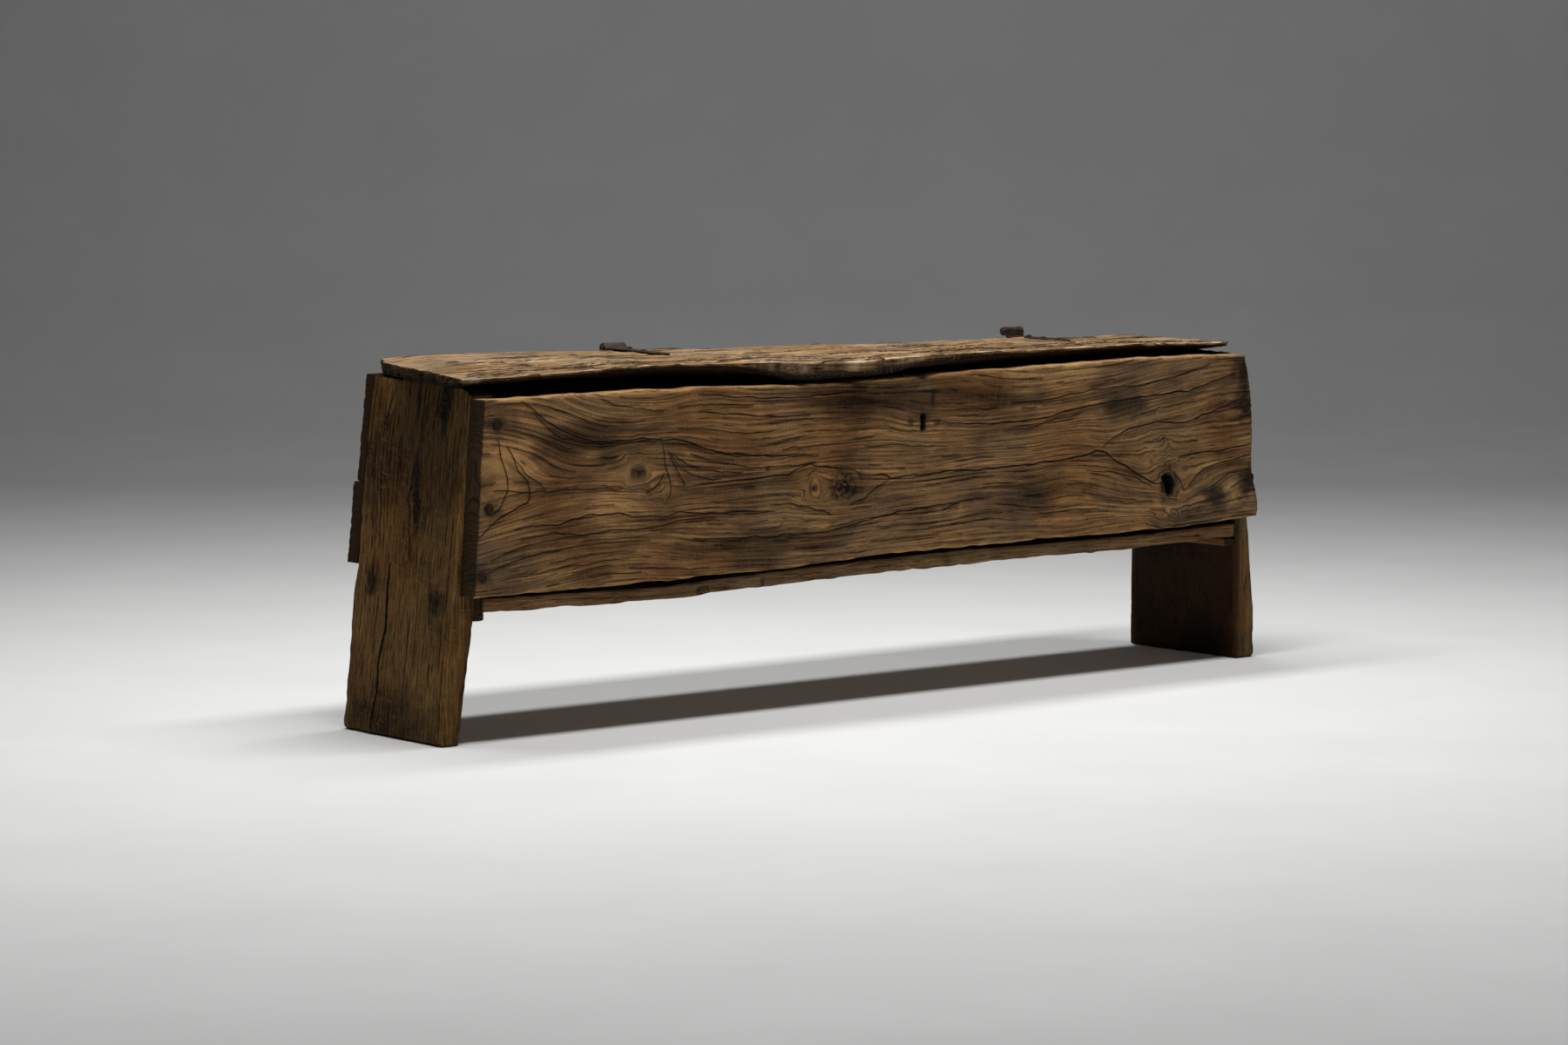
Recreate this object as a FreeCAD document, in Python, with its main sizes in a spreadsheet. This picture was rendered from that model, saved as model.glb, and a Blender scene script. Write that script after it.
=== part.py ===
import FreeCAD, Part
import os
import re
import Sketcher

# A long low storage chest: two splayed end boards that are also its legs, one wide front board,
# two back boards and a bottom board nailed to them, and a one-plank lid on two forged strap hinges.
# X runs along the chest, the front faces -Y and Z is up. All lengths are in millimetres.
# Every board is drawn about the middle of the end boards, and centre_shift then brings the middle of
# the whole chest, from the lid's belly to the nail heads at the back, over the origin.

SIZES = {
    # End boards
    "half_length": 951.0,
    "end_height": 600.0,
    "end_depth": 292.0,
    "end_splay": 69.0,
    "end_top_drop": 10.0,
    "end_thickness": 46.0,
    # Boards between them
    "front_thickness": 41.0,
    "upper_back_thickness": 24.0,
    "lower_back_thickness": 33.0,
    "bottom_thickness": 25.0,
    "dado_depth": 10.0,
    "left_cleat_width": 17.0,
    "left_cleat_height": 75.0,
    "left_cleat_drop": 19.0,
    "housing_depth": 5.0,
    "right_cleat_width": 27.0,
    "right_cleat_height": 14.0,
    "cleat_inset": 3.0,
    "end_margin": 1.5,
    "board_joint": 1.0,
    # Keyhole and lock
    "keyhole_width": 12.0,
    "keyhole_height": 29.0,
    "lock_plate_width": 92.0,
    "lock_plate_height": 122.0,
    "lock_plate_thickness": 2.5,
    "lock_plate_offset": 3.0,
    "lock_case_width": 80.0,
    "lock_case_height": 83.0,
    "lock_case_depth": 38.0,
    "lock_case_wall": 2.0,
    "lock_nail_side": 3.6,
    "lock_nail_head_radius": 5.0,
    "lock_nail_head_height": 1.8,
    "bolt_length": 44.0,
    "bolt_thickness": 6.0,
    "bolt_height": 10.0,
    "bolt_rise": 40.5,
    "bolt_gap": 2.0,
    "keeper_width": 7.0,
    "keeper_wall": 3.0,
    # Staple under the lid
    "staple_offset": 10.0,
    "staple_thickness": 4.0,
    "staple_width": 17.0,
    "staple_setback": 16.0,
    "staple_bar": 4.0,
    "staple_plate_width": 44.0,
    "staple_plate_depth": 30.0,
    "staple_plate_thickness": 3.0,
    # Lid
    "lid_thickness": 28.0,
    "lid_reach": 66.0,
    "lid_back_overhang": 16.0,
    "lid_gap": 0.3,
    # Hinges
    "hinge_axis_rise": 27.0,
    "hinge_pin_radius": 3.5,
    "hinge_pin_play": 0.05,
    "knuckle_radius": 8.5,
    "knuckle_length": 16.0,
    "knuckle_gap": 0.4,
    "knuckle_clearance": 0.8,
    "pin_head_radius": 5.5,
    "pin_head_length": 2.5,
    "strap_thickness": 4.0,
    "strap_length": 162.0,
    "strap_tip_thickness": 3.0,
    "leaf_thickness": 3.0,
    "leaf_length": 92.0,
    "leaf_width": 44.0,
    # Nails
    "nail_side": 6.5,
    "nail_head_radius": 10.5,
    "nail_head_height": 4.0,
    "nail_length": 80.0,
    "cleat_nail_length": 54.0,
    "floor_nail_length": 36.0,
    "small_nail_side": 3.6,
    "small_nail_head_radius": 6.0,
    "small_nail_head_height": 2.4,
    "strap_nail_length": 11.0,
    "leaf_nail_length": 20.0,
    "nail_play": 0.1,
    # Shared
    "seat_gap": 0.3,
    "overrun": 40.0,
}

# Outlines as shares of the sizes that they follow, seen from the front, x to the right and z up.
# An end board's outer face: share of its height, share of its splay.
LEFT_OUTER_SHARES = [(0.0, 0.0), (1.0, 1.0)]
RIGHT_OUTER_SHARES = [(0.0, 0.0), (0.158, 0.0), (0.375, 0.235), (1.0, 0.971)]
# Its inner face, from the top down: share of its height, share of its splay, share of its thickness.
LEFT_INNER_SHARES = [(1.0, 1.0, 0.957), (0.403, 0.403, 1.0), (0.0, 0.0, 0.804)]
RIGHT_INNER_SHARES = [(1.0, 0.971, 0.826), (0.417, 0.284, 0.684), (0.0, 0.0, 1.065)]

# The front board, clockwise from its upper left corner: shares of half_length and of end_height.
FRONT_OUTLINE_SHARES = [
    (-0.931, 0.955), (-0.664, 0.958), (-0.465, 0.957), (-0.154, 0.953), (0.035, 0.963), (0.157, 0.968),
    (0.336, 0.973), (0.607, 0.980), (0.802, 0.981), (0.922, 0.979), (0.936, 0.893), (0.943, 0.792),
    (0.945, 0.677), (0.944, 0.602), (0.960, 0.543), (0.964, 0.467), (0.913, 0.463), (0.760, 0.457),
    (0.570, 0.452), (0.385, 0.455), (0.263, 0.443), (0.158, 0.442), (-0.005, 0.442), (-0.135, 0.433),
    (-0.304, 0.422), (-0.549, 0.417), (-0.958, 0.413), (-0.949, 0.620), (-0.941, 0.810),
]
# The irregular hole that a fallen knot left in the front board.
KNOT_HOLE_SHARES = [
    (0.690, 0.612), (0.697, 0.588), (0.708, 0.548), (0.721, 0.553), (0.726, 0.585), (0.716, 0.612),
    (0.703, 0.620),
]
# The back boards meet at this height, and the lower one ends at this height.
BACK_JOINT_SHARE = 0.695
BACK_FOOT_SHARE = 0.465
# The underside of the bottom board, from left to right.
BOTTOM_UNDERSIDE_SHARES = [
    (-0.515, 0.352), (-0.293, 0.365), (-0.056, 0.375), (0.249, 0.382), (0.650, 0.383), (0.792, 0.388),
]
BOTTOM_LEFT_SHARE = 0.360
BOTTOM_RIGHT_SHARE = 0.395

# Lid sections along the chest. Shares of half_length for the place, of end_depth / 2 for the place where
# the underside starts to rise to the front edge, of lid_reach for the front edge, and of lid_thickness,
# counted from the top of the end boards, for the back, front upper and front lower edges.
LID_SECTION_SHARES = [
    (-0.972, -0.82, 0.07, 0.75, 0.36, -0.16), (-0.854, -0.75, 0.11, 1.00, 0.26, -0.03),
    (-0.735, -0.62, 0.17, 1.00, 0.36, 0.18), (-0.637, -0.55, 0.14, 0.97, 0.48, 0.39),
    (-0.404, -0.62, 0.18, 0.84, 0.49, 0.38), (-0.341, -0.75, 0.18, 0.84, 0.49, 0.30),
    (-0.247, -1.00, 0.66, 0.76, 0.43, -0.75), (-0.117, -1.00, 1.00, 0.70, 0.39, -0.71),
    (-0.036, -1.00, 0.89, 0.68, 0.45, -0.48), (0.063, -1.00, 0.68, 0.66, 0.46, -0.14),
    (0.210, -1.00, 0.40, 0.60, 0.50, 0.18), (0.347, -0.75, 0.27, 0.53, 0.43, 0.29),
    (0.606, -0.62, 0.14, 0.49, 0.46, 0.38), (0.669, -0.62, 0.14, 0.49, 0.46, 0.38),
    (0.799, -0.55, 0.08, 0.40, 0.47, 0.39), (0.941, -0.48, 0.05, 0.38, 0.33, 0.22),
]
# Lower edges of the cleats: how far the bevel reaches up the cleat and in from its face.
CLEAT_BEVEL_RISE_SHARE = 0.3
CLEAT_BEVEL_SHARE = 0.2
# Plan of the lid's ragged ends: shares of half_length and of end_depth / 2, from front to back.
LID_LEFT_END_SHARES = [(-0.963, -1.40), (-0.960, -1.03), (-0.930, 0.82), (-0.905, 1.03), (-0.880, 1.40)]
LID_RIGHT_END_SHARES = [(0.919, -1.40), (0.919, -1.03), (0.930, 1.06), (0.931, 1.40)]
LID_END_LIMIT_SHARE = 1.1

# Where the keyhole and the two hinges sit.
KEYHOLE_SHARE = (0.0673, 0.8242)
LEFT_HINGE_SHARE = -0.3722
RIGHT_HINGE_SHARE = 0.6372
# Where the nails sit.
LEFT_FRONT_NAIL_SHARES = [(-0.906, 0.885), (-0.925, 0.655), (-0.940, 0.470)]
RIGHT_FRONT_NAIL_SHARES = [(0.918, 0.927), (0.924, 0.813), (0.940, 0.587)]
UPPER_BACK_NAIL_SHARES = [(0.906, 0.930), (0.924, 0.760)]
LOWER_BACK_NAIL_SHARES = [(0.932, 0.650), (0.942, 0.510)]
LEFT_CLEAT_NAIL_SHARES = [(0.425, 0.664), (0.395, -0.658)]
RIGHT_CLEAT_NAIL_SHARES = [(0.387, 0.620), (0.387, -0.620)]
FLOOR_NAIL_SHARES = [0.740, -0.740]
FLOOR_NAIL_INSET_SHARE = 0.6
STRAP_NAIL_SHARES = [0.30, 0.55, 0.82]
LEAF_NAIL_SHARES = [(-0.25, 0.45), (0.25, 0.62), (0.0, 0.86)]
LOCK_NAIL_SHARES = [(-0.400, -0.420), (0.400, -0.420), (0.400, 0.440), (-0.400, 0.440)]
STAPLE_NAIL_SHARES = [-0.36, 0.36]
# The lock: how far its plate's middle sits above the keyhole's, as a share of keyhole_height; the keepers'
# places along the bolt; the talon's place along the bolt, its drop and height as shares of bolt_height and
# its width as a share of keeper_width; how far the case rises over the bolt, as a share of bolt_height.
LOCK_PLATE_RISE_SHARE = 0.12
KEEPER_PLACE_SHARES = (0.52, 0.74)
TALON_PLACE_SHARE = 0.26
TALON_DROP_SHARE = 0.75
TALON_HEIGHT_SHARE = 0.6
TALON_WIDTH_SHARE = 0.8
CASE_RISE_SHARE = 1.1
# The slot in the top of the case, its length as a share of staple_width, and the clearance under and over
# the bolt in the staple's eye, as a share of bolt_height.
SLOT_LENGTH_SHARE = 1.82
EYE_CLEARANCE_SHARE = 0.15
# Half width of a hinge strap along its length, each as a share of the hinge's own width.
STRAP_PLAN_SHARES = [(0.14, 0.44), (0.24, 0.30), (0.70, 0.24), (0.84, 0.27), (1.0, 0.05)]
# Where the strap runs into its barrel, below and then above: shares of knuckle_radius from the pin's axis.
STRAP_ROOT_SHARES = [(0.60, 0.65), (0.80, 0.10)]
# Half width of a hinge leaf down its length, each as a share of leaf_width.
LEAF_PLAN_SHARES = [(0.17, 0.5), (0.62, 0.44), (0.90, 0.30), (1.0, 0.10)]

doc = FreeCAD.newDocument("storage_chest")
sheet = doc.addObject("Spreadsheet::Sheet", "sizes")
for row, (size_name, size_value) in enumerate(SIZES.items(), start=1):
    sheet.set(f"A{row}", size_name)
    sheet.set(f"B{row}", str(size_value))
    sheet.setAlias(f"B{row}", size_name)
doc.recompute()


def bound(text):
    """Points each size that the text names at its cell in the sheet."""

    def cell(word):
        return f"sizes.{word.group()}" if word.group() in SIZES else word.group()

    return re.sub(r"[a-z_]+", cell, text)


def value(text):
    """The number that an expression on the sizes gives now."""
    return float(sheet.evalExpression(bound(text).replace("sizes.", "")))


# Places that several pieces share, as expressions on the sizes.
CENTRE_SHIFT = "(lid_reach - lower_back_thickness - nail_head_height) / 2"
FRONT_FACE = "(0 - end_depth / 2 - front_thickness)"
LEG_FRONT = "(0 - end_depth / 2)"
LEG_BACK = "(end_depth / 2)"
UPPER_BACK_FACE = "(end_depth / 2 + upper_back_thickness)"
LOWER_BACK_FACE = "(end_depth / 2 + lower_back_thickness)"
LID_BACK_EDGE = "(end_depth / 2 + lid_back_overhang)"
HINGE_Y = "(end_depth / 2 + upper_back_thickness + leaf_thickness / 2)"
HINGE_Z = "(end_height + hinge_axis_rise)"
HINGE_WIDTH = "(knuckle_length * 3 + knuckle_gap * 2)"
STAPLE_FRONT = "(0 - end_depth / 2 + staple_setback)"
STAPLE_MIDDLE = "(0 - end_depth / 2 + staple_setback + staple_width / 2)"


def mix(first, second, share):
    """A place between two places."""
    return f"({first} + ({second} - {first}) * ({share}))"


def along(share):
    """A place along the chest."""
    return f"(half_length * {share})"


def up(share):
    """A height on the chest."""
    return f"(end_height * {share})"


def across(share):
    """A place across the chest, from the middle of the end boards."""
    return f"(end_depth / 2 * {share})"


KEYHOLE_X = along(KEYHOLE_SHARE[0])
KEYHOLE_Z = up(KEYHOLE_SHARE[1])
STAPLE_X = f"({KEYHOLE_X} - staple_offset)"
BOLT_Z = f"({KEYHOLE_Z} + bolt_rise)"
LOCK_X = f"({KEYHOLE_X} + lock_plate_offset)"
LOCK_Z = f"({KEYHOLE_Z} + keyhole_height * {LOCK_PLATE_RISE_SHARE})"


def outer_x(side, splay_share):
    """Outer face of an end board where it leans in by a share of its splay."""
    return f"({side} * (half_length - end_splay * {splay_share}))"


def inner_x(side, splay_share, thickness_share):
    """Inner face of an end board, its worn thickness inside its outer face."""
    return f"({side} * (half_length - end_splay * {splay_share} - end_thickness * {thickness_share}))"


def inner_face_x(side, shares, height):
    """Inner face of an end board at a height below its knee."""
    knee_height, knee_splay, knee_thickness = shares[1]
    foot = inner_x(side, 0, shares[2][2])
    knee = inner_x(side, knee_splay, knee_thickness)
    return mix(foot, knee, f"{height} / (end_height * {knee_height})")


def upper_inner_face_x(side, shares, height):
    """Inner face of an end board at a height above its knee."""
    knee_height, knee_splay, knee_thickness = shares[1]
    knee = inner_x(side, knee_splay, knee_thickness)
    top = inner_x(side, shares[0][1], shares[0][2])
    return mix(knee, top, f"({height} / end_height - {knee_height}) / (1 - {knee_height})")


def outer_face_x(side, shares, height_share):
    """Outer face of an end board at a share of its height, on its upper stretch."""
    low_height, low_splay = shares[-2]
    high_height, high_splay = shares[-1]
    share = (height_share - low_height) / (high_height - low_height)
    return outer_x(side, mix(low_splay, high_splay, share))


def outer_lean(shares):
    """Lean of an end board's outer face on its upper stretch, in degrees."""
    low_height, low_splay = shares[-2]
    high_height, high_splay = shares[-1]
    rise_share = (high_splay - low_splay) / (high_height - low_height)
    return f"(atan(end_splay * {rise_share} / end_height) / 1 deg)"


def seat_plane(y):
    """Height of the sloping top of the end boards at a place across the chest."""
    return f"(end_height - end_top_drop * (end_depth / 2 - {y}) / end_depth)"


def origin_plane(body, role):
    """One of the body's own origin planes."""
    return [feature for feature in body.Origin.OriginFeatures if feature.Role == role][0]


def new_body(label):
    """An empty body, shifted so that the whole chest stands centred over the origin."""
    body = doc.addObject("PartDesign::Body", label)
    body.Label = label
    body.setExpression("Placement.Base.y", bound(CENTRE_SHIFT))
    return body


def polygons(body, name, role, loops, start="0", frame=None):
    """A sketch of closed polygons on an origin plane, each corner bound to the sizes."""
    sketch = body.newObject("Sketcher::SketchObject", name)
    sketch.AttachmentSupport = [(origin_plane(body, role), "")]
    sketch.MapMode = "FlatFace"
    if frame is None:
        sketch.setExpression("AttachmentOffset.Base.z", bound(start))
    else:
        place(sketch, "AttachmentOffset", frame, "0")
    for corners in loops:
        numbers = [(value(u), value(v)) for u, v in corners]
        first = sketch.GeometryCount
        count = len(corners)
        for index, (u, v) in enumerate(numbers):
            next_u, next_v = numbers[(index + 1) % count]
            line = Part.LineSegment(FreeCAD.Vector(u, v, 0), FreeCAD.Vector(next_u, next_v, 0))
            sketch.addGeometry(line, False)
        for index in range(count):
            following = first + (index + 1) % count
            sketch.addConstraint(Sketcher.Constraint("Coincident", first + index, 2, following, 1))
        for index, (u, v) in enumerate(corners):
            for kind, text, number in zip(("DistanceX", "DistanceY"), (u, v), numbers[index]):
                datum = sketch.addConstraint(Sketcher.Constraint(kind, -1, 1, first + index, 1, number))
                sketch.setExpression(f"Constraints[{datum}]", bound(text))
    return sketch


def rings(body, name, start, centre, radii):
    """A sketch of circles about one centre, in a plane across the chest."""
    sketch = body.newObject("Sketcher::SketchObject", name)
    sketch.AttachmentSupport = [(origin_plane(body, "YZ_Plane"), "")]
    sketch.MapMode = "FlatFace"
    sketch.setExpression("AttachmentOffset.Base.z", bound(start))
    middle = FreeCAD.Vector(value(centre[0]), value(centre[1]), 0)
    for radius in radii:
        circle = sketch.addGeometry(Part.Circle(middle, FreeCAD.Vector(0, 0, 1), value(radius)), False)
        for kind, text, number in zip(("DistanceX", "DistanceY"), centre, (middle.x, middle.y)):
            datum = sketch.addConstraint(Sketcher.Constraint(kind, -1, 1, circle, 3, number))
            sketch.setExpression(f"Constraints[{datum}]", bound(text))
        datum = sketch.addConstraint(Sketcher.Constraint("Radius", circle, value(radius)))
        sketch.setExpression(f"Constraints[{datum}]", bound(radius))
    return sketch


def pad(body, name, sketch, length):
    """Material from the sketch along its plane's own direction."""
    feature = body.newObject("PartDesign::Pad", name)
    feature.Profile = sketch
    feature.setExpression("Length", bound(length))
    sketch.Visibility = False
    return feature


def pocket(body, name, sketch, length):
    """A cut from the sketch against its plane's own direction."""
    feature = body.newObject("PartDesign::Pocket", name)
    feature.Profile = sketch
    feature.setExpression("Length", bound(length))
    sketch.Visibility = False
    return feature


def rectangle(u, v, width, height):
    """Corners of a rectangle about a centre."""
    low_u = f"({u} - {width} / 2)"
    high_u = f"({u} + {width} / 2)"
    low_v = f"({v} - {height} / 2)"
    high_v = f"({v} + {height} / 2)"
    return [(low_u, low_v), (high_u, low_v), (high_u, high_v), (low_u, high_v)]


def board(label, outline, back, thickness):
    """A board cut to an outline seen from the front, thickness deep from its back face forward."""
    body = new_body(label)
    sketch = polygons(body, f"{label}_outline", "XZ_Plane", [outline], start=f"0 - {back}")
    pad(body, f"{label}_board", sketch, thickness)
    return body


def place(item, prop, frame, shift):
    """Binds a placement to a nail group's frame."""
    axis, angle, base = frame
    turn = FreeCAD.Rotation(FreeCAD.Vector(*axis), value(angle))
    setattr(item, prop, FreeCAD.Placement(FreeCAD.Vector(0, 0, 0), turn))
    item.setExpression(f"{prop}.Base.x", bound(base[0]))
    item.setExpression(f"{prop}.Base.y", bound(f"{base[1]} + {shift}"))
    item.setExpression(f"{prop}.Base.z", bound(base[2]))
    item.setExpression(f"{prop}.Rotation.Angle", bound(f"({angle}) * 1 deg"))


def nail_holes(body, name, frame, seats, side, depth):
    """Square holes in a board for the nails of one group."""
    hole_side = f"({side} + nail_play * 2)"
    loops = [rectangle(u, v, hole_side, hole_side) for u, v in seats]
    sketch = polygons(body, f"{name}_holes_outline", "XY_Plane", loops, frame=frame)
    return pocket(body, f"{name}_holes", sketch, f"{depth} + nail_play")


def forged_nail(name, side, head_radius, head_height, length):
    """A nail with a square shank and a low domed head, its head's seat at the origin."""
    body = doc.addObject("PartDesign::Body", name)
    square = rectangle("0", "0", side, side)
    shank = polygons(body, f"{name}_shank_outline", "XY_Plane", [square], start=f"0 - {length}")
    pad(body, f"{name}_shank", shank, f"{length} + {head_height} / 2")
    dome_radius = f"(({head_radius} * {head_radius} + {head_height} * {head_height}) / (2 * {head_height}))"
    head = body.newObject("PartDesign::AdditiveSphere", f"{name}_head")
    head.AttachmentSupport = [(origin_plane(body, "XY_Plane"), "")]
    head.MapMode = "FlatFace"
    head.setExpression("Radius", bound(dome_radius))
    head.setExpression("Angle1", bound(f"asin(1 - {head_height} / {dome_radius})"))
    head.setExpression("AttachmentOffset.Base.z", bound(f"{head_height} - {dome_radius}"))
    return body


def nail_group(label, nail, frame, seats):
    """The nails of one group as separate solids in one node, each at its seat."""
    links = []
    for index, (u, v) in enumerate(seats, start=1):
        link = doc.addObject("App::Link", f"{label}_{index}")
        link.LinkedObject = nail
        link.LinkTransform = False
        link.setExpression("Placement.Base.x", bound(u))
        link.setExpression("Placement.Base.y", bound(v))
        links.append(link)
    group = doc.addObject("Part::Compound", label)
    group.Label = label
    group.Links = links
    place(group, "Placement", frame, CENTRE_SHIFT)
    return group


NAIL = ("nail_side", "nail_head_radius", "nail_head_height")
SMALL_NAIL = ("small_nail_side", "small_nail_head_radius", "small_nail_head_height")
LOCK_NAIL = ("lock_nail_side", "lock_nail_head_radius", "lock_nail_head_height")
LOCK_NAIL_LENGTH = "(lock_plate_thickness + front_thickness)"
board_nail = forged_nail("board_nail", *NAIL, "nail_length")
cleat_nail = forged_nail("cleat_nail", *NAIL, "cleat_nail_length")
floor_nail = forged_nail("floor_nail", *SMALL_NAIL, "floor_nail_length")
strap_nail = forged_nail("strap_nail", *SMALL_NAIL, "strap_nail_length")
leaf_nail = forged_nail("leaf_nail", *SMALL_NAIL, "leaf_nail_length")
lock_nail = forged_nail("lock_nail", *LOCK_NAIL, LOCK_NAIL_LENGTH)

# End boards, which are the legs too: splayed, worn thinner towards the foot, and sloping down to the
# front on top.
nodes = []
SIDES = (
    ("left", -1, LEFT_OUTER_SHARES, LEFT_INNER_SHARES),
    ("right", 1, RIGHT_OUTER_SHARES, RIGHT_INNER_SHARES),
)
end_boards = {}
for side_name, side, outer_shares, inner_shares in SIDES:
    outline = [(outer_x(side, lean), up(height)) for height, lean in outer_shares]
    outline += [(inner_x(side, lean, wall), up(height)) for height, lean, wall in inner_shares]
    end_board = board(f"{side_name}_end_board", outline, LEG_BACK, "end_depth")
    slope = "end_top_drop / end_depth * overrun"
    top_cut = [
        (f"{LEG_FRONT} - overrun", f"end_height - end_top_drop - {slope}"),
        (f"{LEG_BACK} + overrun", f"end_height + {slope}"),
        (f"{LEG_BACK} + overrun", "end_height + overrun"),
        (f"{LEG_FRONT} - overrun", "end_height + overrun"),
    ]
    top_sketch = polygons(end_board, f"{side_name}_top_slope", "YZ_Plane", [top_cut], start="half_length")
    pocket(end_board, f"{side_name}_top_cut", top_sketch, "half_length * 2")
    end_boards[side] = end_board
    nodes.append(end_board)

# Bottom board: its right end sits in a dado in the right leg, its left end in a housing in the left cleat.
DADO_FLOOR = f"({inner_face_x(1, RIGHT_INNER_SHARES, up(BOTTOM_RIGHT_SHARE))} + dado_depth)"
LEFT_CLEAT_FOOT = f"({up(BOTTOM_LEFT_SHARE)} - left_cleat_drop)"
LEFT_CLEAT_FACE = f"({inner_face_x(-1, LEFT_INNER_SHARES, LEFT_CLEAT_FOOT)} + left_cleat_width)"
HOUSING_FLOOR = f"({LEFT_CLEAT_FACE} - housing_depth)"
underside = [(f"({HOUSING_FLOOR} + seat_gap)", up(BOTTOM_LEFT_SHARE))]
underside += [(along(x_share), up(z_share)) for x_share, z_share in BOTTOM_UNDERSIDE_SHARES]
underside.append((f"({DADO_FLOOR} - seat_gap)", up(BOTTOM_RIGHT_SHARE)))
upper_side = [(x, f"({z} + bottom_thickness)") for x, z in reversed(underside)]
bottom_board = board("bottom_board", underside + upper_side, LEG_BACK, "end_depth")
nodes.append(bottom_board)


def end_housing(body, name, floor, mouth, height_share):
    """A housing across a piece, in which one end of the bottom board sits."""
    low = f"({up(height_share)} - seat_gap * 2)"
    high = f"({up(height_share)} + bottom_thickness + seat_gap * 2)"
    corners = [(floor, low), (mouth, low), (mouth, high), (floor, high)]
    sketch = polygons(body, f"{name}_outline", "XZ_Plane", [corners], start=f"0 - ({LEG_FRONT} - overrun)")
    pocket(body, name, sketch, "end_depth + overrun * 2")


end_housing(end_boards[1], "dado", DADO_FLOOR, f"({DADO_FLOOR} - dado_depth - overrun)", BOTTOM_RIGHT_SHARE)

# Front board with its keyhole and knot hole, and the two back boards, nailed to the legs' edges.
front_outline = [(along(x_share), up(z_share)) for x_share, z_share in FRONT_OUTLINE_SHARES]
front_board = board("front_board", front_outline, LEG_FRONT, "front_thickness")
KEYHOLE = rectangle(KEYHOLE_X, KEYHOLE_Z, "keyhole_width", "keyhole_height")
knot_hole = [(along(x_share), up(z_share)) for x_share, z_share in KNOT_HOLE_SHARES]
holes_sketch = polygons(
    front_board, "keyhole_and_knot", "XZ_Plane", [KEYHOLE, knot_hole], start=f"0 - ({FRONT_FACE} - overrun)"
)
pocket(front_board, "keyhole_and_knot_cut", holes_sketch, "front_thickness + overrun * 2")
nodes.append(front_board)


def back_board(label, low_share, high_share, back, thickness, low_gap):
    """A back board whose ends follow the lean of the legs."""
    low = f"({up(low_share)} + {low_gap})"
    outline = []
    for height, share in ((low, low_share), (up(high_share), high_share)):
        lean = f"(half_length - end_splay * {share} - end_margin)"
        ends = [(f"(0 - {lean})", height), (lean, height)]
        outline += ends if share == low_share else reversed(ends)
    return board(label, outline, back, thickness)


upper_back_board = back_board(
    "upper_back_board", BACK_JOINT_SHARE, 1.0, UPPER_BACK_FACE, "upper_back_thickness", "board_joint"
)
lower_back_board = back_board(
    "lower_back_board", BACK_FOOT_SHARE, BACK_JOINT_SHARE, LOWER_BACK_FACE, "lower_back_thickness", "0"
)
nodes += [upper_back_board, lower_back_board]

# Cleats on the inner faces of the legs: a tall one that houses the bottom board's left end, and a low
# one under its right end.
cleat_back = f"({LEG_BACK} - cleat_inset)"
CLEAT_DEPTH = "(end_depth - cleat_inset * 2)"
left_top = f"({LEFT_CLEAT_FOOT} + left_cleat_height)"
knee_height, knee_splay, knee_thickness = LEFT_INNER_SHARES[1]
left_cleat_outline = [
    (f"({LEFT_CLEAT_FACE} - left_cleat_width)", LEFT_CLEAT_FOOT),
    (inner_x(-1, knee_splay, knee_thickness), up(knee_height)),
    (upper_inner_face_x(-1, LEFT_INNER_SHARES, left_top), left_top),
    (f"({upper_inner_face_x(-1, LEFT_INNER_SHARES, left_top)} + left_cleat_width)", left_top),
    (LEFT_CLEAT_FACE, f"({LEFT_CLEAT_FOOT} + left_cleat_drop * {CLEAT_BEVEL_RISE_SHARE})"),
    (f"({LEFT_CLEAT_FACE} - left_cleat_width * {CLEAT_BEVEL_SHARE})", LEFT_CLEAT_FOOT),
]
left_cleat = board("left_cleat", left_cleat_outline, cleat_back, CLEAT_DEPTH)
end_housing(left_cleat, "housing", HOUSING_FLOOR, f"({HOUSING_FLOOR} + overrun)", BOTTOM_LEFT_SHARE)
right_top = f"({up(BOTTOM_UNDERSIDE_SHARES[-1][1])} - seat_gap)"
right_foot = f"({right_top} - right_cleat_height)"
right_wall = inner_face_x(1, RIGHT_INNER_SHARES, right_top)
right_face = f"({right_wall} - right_cleat_width)"
right_cleat_outline = [
    (right_wall, right_top),
    (right_face, right_top),
    (right_face, f"({right_foot} + right_cleat_height * {CLEAT_BEVEL_RISE_SHARE})"),
    (f"({right_wall} - right_cleat_width * (1 - {CLEAT_BEVEL_SHARE}))", right_foot),
    (inner_face_x(1, RIGHT_INNER_SHARES, right_foot), right_foot),
]
right_cleat = board("right_cleat", right_cleat_outline, cleat_back, CLEAT_DEPTH)
cleats = {-1: left_cleat, 1: right_cleat}
nodes += [left_cleat, right_cleat]

# Lid: one warped plank, ruled between its sections, its ends cut askew.
lid = new_body("lid_board")
lid_sections = []
for index, section_shares in enumerate(LID_SECTION_SHARES, start=1):
    x_share, rise_share, reach_share, back_share, front_share, edge_share = section_shares
    front_edge = f"({LEG_FRONT} - lid_reach * {reach_share})"
    rise = across(rise_share)
    corners = [
        (LID_BACK_EDGE, f"({seat_plane(LID_BACK_EDGE)} + lid_gap)"),
        (LID_BACK_EDGE, f"(end_height + lid_thickness * {back_share})"),
        (front_edge, f"(end_height + lid_thickness * {front_share})"),
        (front_edge, f"(end_height + lid_thickness * {edge_share})"),
        (rise, f"({seat_plane(rise)} + lid_gap)"),
    ]
    lid_sections.append(polygons(lid, f"lid_section_{index}", "YZ_Plane", [corners], start=along(x_share)))
plank = lid.newObject("PartDesign::AdditiveLoft", "lid_plank")
plank.Profile = lid_sections[0]
plank.Sections = lid_sections[1:]
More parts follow.
